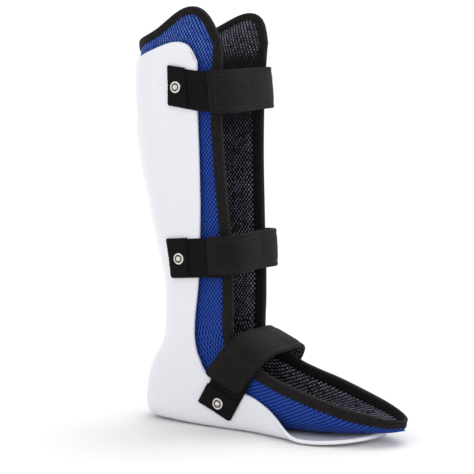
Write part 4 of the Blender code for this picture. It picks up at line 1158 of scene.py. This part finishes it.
def build_tab(name, side_name, side, strap, surface):
    """A webbing tab, folded double under its rivet and cut with saw teeth at its end."""
    facts = strap.facts
    rear = strap.length_at(side, facts["tab_start"])
    tip = strap.length_at(side, facts["tab_tip"])
    tip += NEAR_TIP_EXTRA if side < 0 else FAR_TIP_CUT
    way = math.copysign(1.0, tip - rear)
    inner = TAB_OUTER - TAB_THICKNESS
    across = facts["across"]
    stops = np.linspace(0, abs(tip - rear), max(3, int(abs(tip - rear) / 0.0016)))
    shifts = []
    for stop in stops:
        values = []
        for offset in (-0.4, 0.0, 0.4):
            place, normal, _ = strap.frame_at(rear + way * stop)
            place = place + across * offset * facts["tab_width"]
            out = Vector((0, side, 0))
            values.append(settle_on(surface, place + normal * inner, out, TAB_CLEARANCE))
        known = [v for v in values if v is not None]
        shifts.append(min(known) if len(known) == 3 else None)
    last = max((k for k, v in enumerate(shifts) if v is not None), default=0)
    final = shifts[last] or 0.0
    shifts = [v if v is not None else final * (1 - smoothstep(0, 0.02, stops[k] - stops[last]))
              for k, v in enumerate(shifts)]
    shifts = relaxed(np.array(shifts), SETTLE_SMOOTHING)

    def strip(label, end, low, high, width, lift):
        count = max(3, int(abs(end - rear) / 0.0014))
        half = 10
        shares = [k / (2 * half) for k in range(2 * half + 1)]
        rings, weaves = [], []
        for row in range(count + 1):
            run = abs(end - rear) * row / count
            ring, weave = [], []
            for face, order in ((high, shares), (low, shares[::-1])):
                for share in order:
                    offset = (share - 0.5) * width
                    tooth = abs((offset / TOOTH_PITCH) % 1.0 - 0.5) * 2 * TOOTH_DEPTH
                    slant = offset * TAB_SLANT[name] * max(0.0, 1 - run / SLANT_RUN)
                    reach_in = run + slant + tooth * max(0.0, 1 - row / 2)
                    place, normal, _ = strap.frame_at(rear + way * reach_in)
                    level = face
                    if share in (0.0, 1.0) or row in (0, count):
                        level = face + (TAB_ROUND if face == low else -TAB_ROUND)
                    point = place + across * (offset + lift) + normal * level
                    point -= Vector((0, side, 0)) * float(np.interp(run, stops, shifts))
                    ring.append(point)
                    weave.append((offset, run))
            rings.append(ring)
            weaves.append(weave)
        piece = rings_mesh(f"{name}_{side_name}_{label}", rings, weaves, [LOOKS["webbing"]],
                           closed=False)
        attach(piece, "brace")
        return piece

    tab = strip("tab_webbing", tip, inner, TAB_OUTER, facts["tab_width"], 0.0)
    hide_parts(f"{name}_{side_name}_tab")
    fold_end = strap.length_at(side, facts["fold_end"])
    strip("tab_fold", fold_end, TAB_OUTER + 0.00005, TAB_OUTER + FOLD_THICKNESS,
          facts["tab_width"] + FOLD_EXTRA, FOLD_LIFT)
    rivet_stop = abs(strap.length_at(side, facts["rivet"]) - rear)
    return float(np.interp(rivet_stop, stops, shifts))


def build_rivet(name, side_name, side, strap, shift):
    """A domed rivet in its ring, and the burr inside the shell."""
    facts = strap.facts
    place, _, _ = strap.frame_at(strap.length_at(side, facts["rivet"]))
    outward = Vector((0, side, 0))
    half = facts["shell_half_width"]
    base = Vector((place.x, side * (half + PAD_INNER + TAB_OUTER + FOLD_THICKNESS - shift), place.z))
    label = f"{name}_{side_name}_rivet"
    head = turned(f"{label}_head", RIVET_PROFILE, base, outward, LOOKS["nickel"])
    # The faces of the groove round the dome take the painted-shade material.
    head.data.materials.append(LOOKS["painted_groove_shade"])
    for polygon in head.data.polygons:
        radius = (polygon.center - base).cross(outward).length
        if GROOVE_INSIDE < radius < GROOVE_OUTSIDE:
            polygon.material_index = 1
    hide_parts(label, f"{label}_ring")
    wall = Vector((place.x, side * facts["rivet_wall"], place.z))
    burr_profile = [(radius, height - SHELL_THICKNESS) for radius, height in BURR_PROFILE]
    burr = turned(f"{label}_washer", burr_profile, wall, outward, LOOKS["nickel"])
    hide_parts(f"{label}_burr")
    for piece in (head, burr):
        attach(piece, "brace")


def pad_face(distance):
    """Height of the padded strap's outer face at a distance from its nearest edge."""
    rise = PAD_EDGE_HEIGHT + PAD_EDGE_RISE * smoothstep(0.0, PAD_EDGE_RUN, distance)
    groove = SEAM_DEPTH * math.exp(-((distance - PAD_BORDER) / SEAM_WIDTH) ** 2)
    crown = PAD_CROWN * smoothstep(PAD_BORDER, PAD_BORDER + PAD_CROWN_RUN, distance)
    return rise + crown - groove


def inflate(piece, free, frames, cap):
    """Blow a padded piece up as cloth under pressure: only its free vertices may move, up to cap."""
    scene = bpy.context.scene
    mesh = piece.data
    rest = [v.co.copy() for v in mesh.vertices]
    loose = set(free)
    sewn = piece.vertex_groups.new(name="sewn")
    sewn.add([k for k in range(len(rest)) if k not in loose], 1.0, "REPLACE")
    cloth = piece.modifiers.new("padding", "CLOTH")
    settings = cloth.settings
    settings.quality = 8
    settings.mass = 0.2
    settings.tension_stiffness = settings.compression_stiffness = 12.0
    settings.shear_stiffness = 5.0
    settings.bending_stiffness = 1.5
    settings.shrink_min = CLOTH_SLACK
    settings.use_pressure = True
    settings.uniform_pressure_force = CLOTH_PRESSURE
    settings.vertex_group_mass = sewn.name
    settings.effector_weights.gravity = 0.0
    cloth.point_cache.frame_start = 1
    cloth.point_cache.frame_end = frames
    for frame in range(1, frames + 1):
        scene.frame_set(frame)
    blown = piece.evaluated_get(bpy.context.evaluated_depsgraph_get())
    places = [v.co.copy() for v in blown.data.vertices]
    piece.modifiers.remove(cloth)
    scene.frame_set(1)
    piece.vertex_groups.remove(sewn)
    for k in loose:
        move = places[k] - rest[k]
        if move.length > cap:
            move *= cap / move.length
        mesh.vertices[k].co = rest[k] + move
    mesh.update()


def build_pad(name, strap):
    """The padded strap, sewn to the far tab, with its stitched border."""
    facts = strap.facts
    start = strap.length_at(-1, facts["pad_start"])
    hinge = strap.length_at(1, facts["hinge"])
    end = hinge + PAD_OVERLAP
    across = facts["across"]
    half = facts["pad_width"] / 2
    count = int((end - start) / PAD_STEP)
    offsets = [half * math.sin(math.pi / 2 * t) for t in np.linspace(-1, 1, 45)]
    rings, weaves, free = [], [], []

    def sewn_down(at):
        """How far the pad is pulled in where it is sewn onto the tab."""
        return SEWN_DEPTH * smoothstep(hinge - FOLD_REACH, hinge + FOLD_REACH, at)

    def corner_in(run, left):
        """How far the pad's corners are rounded in at a distance from its end."""
        inside_corner = max(0.0, PAD_CORNER - min(run, left))
        return PAD_CORNER - math.sqrt(max(0.0, PAD_CORNER**2 - inside_corner**2))

    for row in range(count + 1):
        at = start + (end - start) * row / count
        run, left = at - start, end - at
        place, normal, _ = strap.frame_at(at)
        sunk = sewn_down(at)
        squeeze = 1 - corner_in(run, left) / half
        wave = PAD_WAVER * noise.noise(Vector((at * 40, len(name), 0.3)))
        ring, weave = [], []
        for k, offset in enumerate(offsets):
            distance = min(half - abs(offset), run, left)
            if distance > PAD_BORDER + FREE_MARGIN:
                free.append(row * 2 * len(offsets) + k)
            swell = pad_face(distance) + wave * smoothstep(0.0, 0.01, distance)
            ring.append(place + across * offset * squeeze + normal * (swell - sunk))
            weave.append((offset, at))
        for offset in reversed(offsets):
            distance = min(half - abs(offset), run, left)
            face = LINING_EDGE - LINING_DROP * smoothstep(0.0, LINING_RUN, distance)
            ring.append(place + across * offset * squeeze + normal * (face - sunk))
            weave.append((offset, at))
        rings.append(ring)
        weaves.append(weave)
    inside = set(range(len(offsets) + 1, 2 * len(offsets) - 2))
    pad = rings_mesh(f"{name}_padded_strap", rings, weaves,
                     [LOOKS["strap"], LOOKS["black_mesh"]], closed=False, inside=inside)
    inflate(pad, free, CLOTH_FRAMES, CLOTH_CAP)
    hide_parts(f"{name}_strap_cover", f"{name}_strap_foam", f"{name}_strap_lining")

    spans = []

    def stitch(at, offset, next_at, next_offset):
        first, out, _ = strap.frame_at(at)
        second, out2, _ = strap.frame_at(next_at)
        level = pad_face(PAD_BORDER) + STITCH_RADIUS * 0.8
        levels = [level - sewn_down(a) for a in (at, next_at)]
        spans.append((first + across * offset + out * levels[0],
                      second + across * next_offset + out2 * levels[1], (out + out2).normalized()))

    low, high = start + PAD_BORDER, end - PAD_BORDER
    side = half - PAD_BORDER
    for sign in (-1, 1):
        for k in range(int((high - low) / STITCH_PITCH)):
            at = low + STITCH_LEAD + k * STITCH_PITCH
            stitch(at, sign * side, at + STITCH_LENGTH, sign * side)
    for at in (low, high):
        for k in range(int(2 * side / STITCH_PITCH)):
            offset = -side + STITCH_LEAD + k * STITCH_PITCH
            stitch(at, offset, at, offset + STITCH_LENGTH)
    threads = capsules(f"{name}_strap_stitches", spans, STITCH_RADIUS, LOOKS["thread"])

    place, _, _ = strap.frame_at(hinge)
    back, _, _ = strap.frame_at(hinge + 0.005)
    ahead, _, _ = strap.frame_at(hinge - 0.005)
    for piece in (pad, threads):
        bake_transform(piece)

    hook_rings, hook_weaves = [], []
    for at in np.linspace(start + HOOK_START, start + HOOK_END, HOOK_ROWS):
        place, normal, _ = strap.frame_at(at)
        ring, weave = [], []
        for level, signs in ((HOOK_TOP, (-1, -0.5, 0, 0.5, 1)), (HOOK_BASE, (1, 0.5, 0, -0.5, -1))):
            for sign in signs:
                ring.append(place + across * sign * HOOK_HALF_WIDTH + normal * level)
                weave.append((sign * HOOK_HALF_WIDTH, at))
        hook_rings.append(ring)
        hook_weaves.append(weave)
    hook = rings_mesh(f"{name}_hook_tape", hook_rings, hook_weaves, [LOOKS["hook"]], closed=False)
    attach(hook, f"{name}_strap")
    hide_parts(f"{name}_hook_patch")


# ---------------------------------------------------------------- camera, lights and floor

CAMERA_AZIMUTH = 30.5           # degrees round from the view along +Y
CAMERA_PITCH = 5.6              # degrees looking down
CAMERA_TARGET = Vector((0.02848, 0.0, 0.17475))
CAMERA_DISTANCE = 1.2056
CAMERA_LENS = 97.97
CAMERA_SENSOR = 36.0


def look_along(azimuth, pitch):
    a, p = math.radians(azimuth), math.radians(pitch)
    return Vector((-math.sin(a) * math.cos(p), math.cos(a) * math.cos(p), -math.sin(p)))


def build_camera():
    data = bpy.data.cameras.new("camera")
    data.lens = CAMERA_LENS
    data.sensor_width = CAMERA_SENSOR
    camera = bpy.data.objects.new("camera", data)
    way = look_along(CAMERA_AZIMUTH, CAMERA_PITCH)
    camera.location = CAMERA_TARGET - way * CAMERA_DISTANCE
    camera.rotation_mode = "QUATERNION"
    camera.rotation_quaternion = way.to_track_quat("-Z", "Y")
    data.clip_start, data.clip_end = 0.05, 60.0
    bpy.context.scene.collection.objects.link(camera)
    bpy.context.scene.camera = camera


def add_light(name, kind, power, way):
    """A lamp that shines along way; returns the lamp and its data."""
    data = bpy.data.lights.new(name, kind)
    data.energy = power
    light = bpy.data.objects.new(name, data)
    light.rotation_mode = "QUATERNION"
    light.rotation_quaternion = Vector(way).to_track_quat("-Z", "Y")
    bpy.context.scene.collection.objects.link(light)
    return light, data


def area_light(name, place, target, size, power):
    light, data = add_light(name, "AREA", power, Vector(target) - Vector(place))
    data.shape = "RECTANGLE"
    data.size, data.size_y = size
    light.location = place


def build_studio():
    world = bpy.data.worlds.new("studio")
    bpy.context.scene.world = world
    world.use_nodes = True
    background = world.node_tree.nodes["Background"]
    background.inputs["Color"].default_value = (1.0, 1.0, 1.0, 1.0)
    background.inputs["Strength"].default_value = 1.02
    area_light("front_left", (-0.9, -1.3, 0.45), (0.0, 0.0, 0.1), (0.8, 0.8), 1.6)
    area_light("right", (1.5, -0.2, 0.7), (0.0, 0.0, 0.2), (0.5, 1.0), 3.2)
    _, sun = add_light("soft_top", "SUN", 1.1, (-0.04, -0.34, -1.0))
    sun.angle = 0.6
    look = Look("pale_floor", (0.78, 0.78, 0.783), 0.9, Specular_IOR_Level=0.1)
    look.colour(look.mix(look.ramp(look.noise(3.0), 0.3, 0.7), (0.778, 0.778, 0.781),
                         (0.782, 0.782, 0.785)))
    shape = bmesh.new()
    bmesh.ops.create_grid(shape, x_segments=8, y_segments=8, size=12.0)
    floor = finish_mesh("floor", shape, [look.material])
    floor.location.z = -0.0002
    bpy.context.scene.view_settings.view_transform = "Standard"


# ---------------------------------------------------------------- assembly

build_camera()
shell_guide = build_shell()
build_liner()
shell_surface = BVHTree.FromPolygons(shell_guide.points, shell_guide.faces)
for strap_name, strap_facts in STRAPS.items():
    path = Strap(strap_facts, "centre")
    for side_label, side_sign in (("near", -1), ("far", 1)):
        pressed_in = build_tab(strap_name, side_label, side_sign, path, shell_surface)
        build_rivet(strap_name, side_label, side_sign, path, pressed_in)
    build_pad(strap_name, Strap(strap_facts, "pad_centre"))
build_studio()
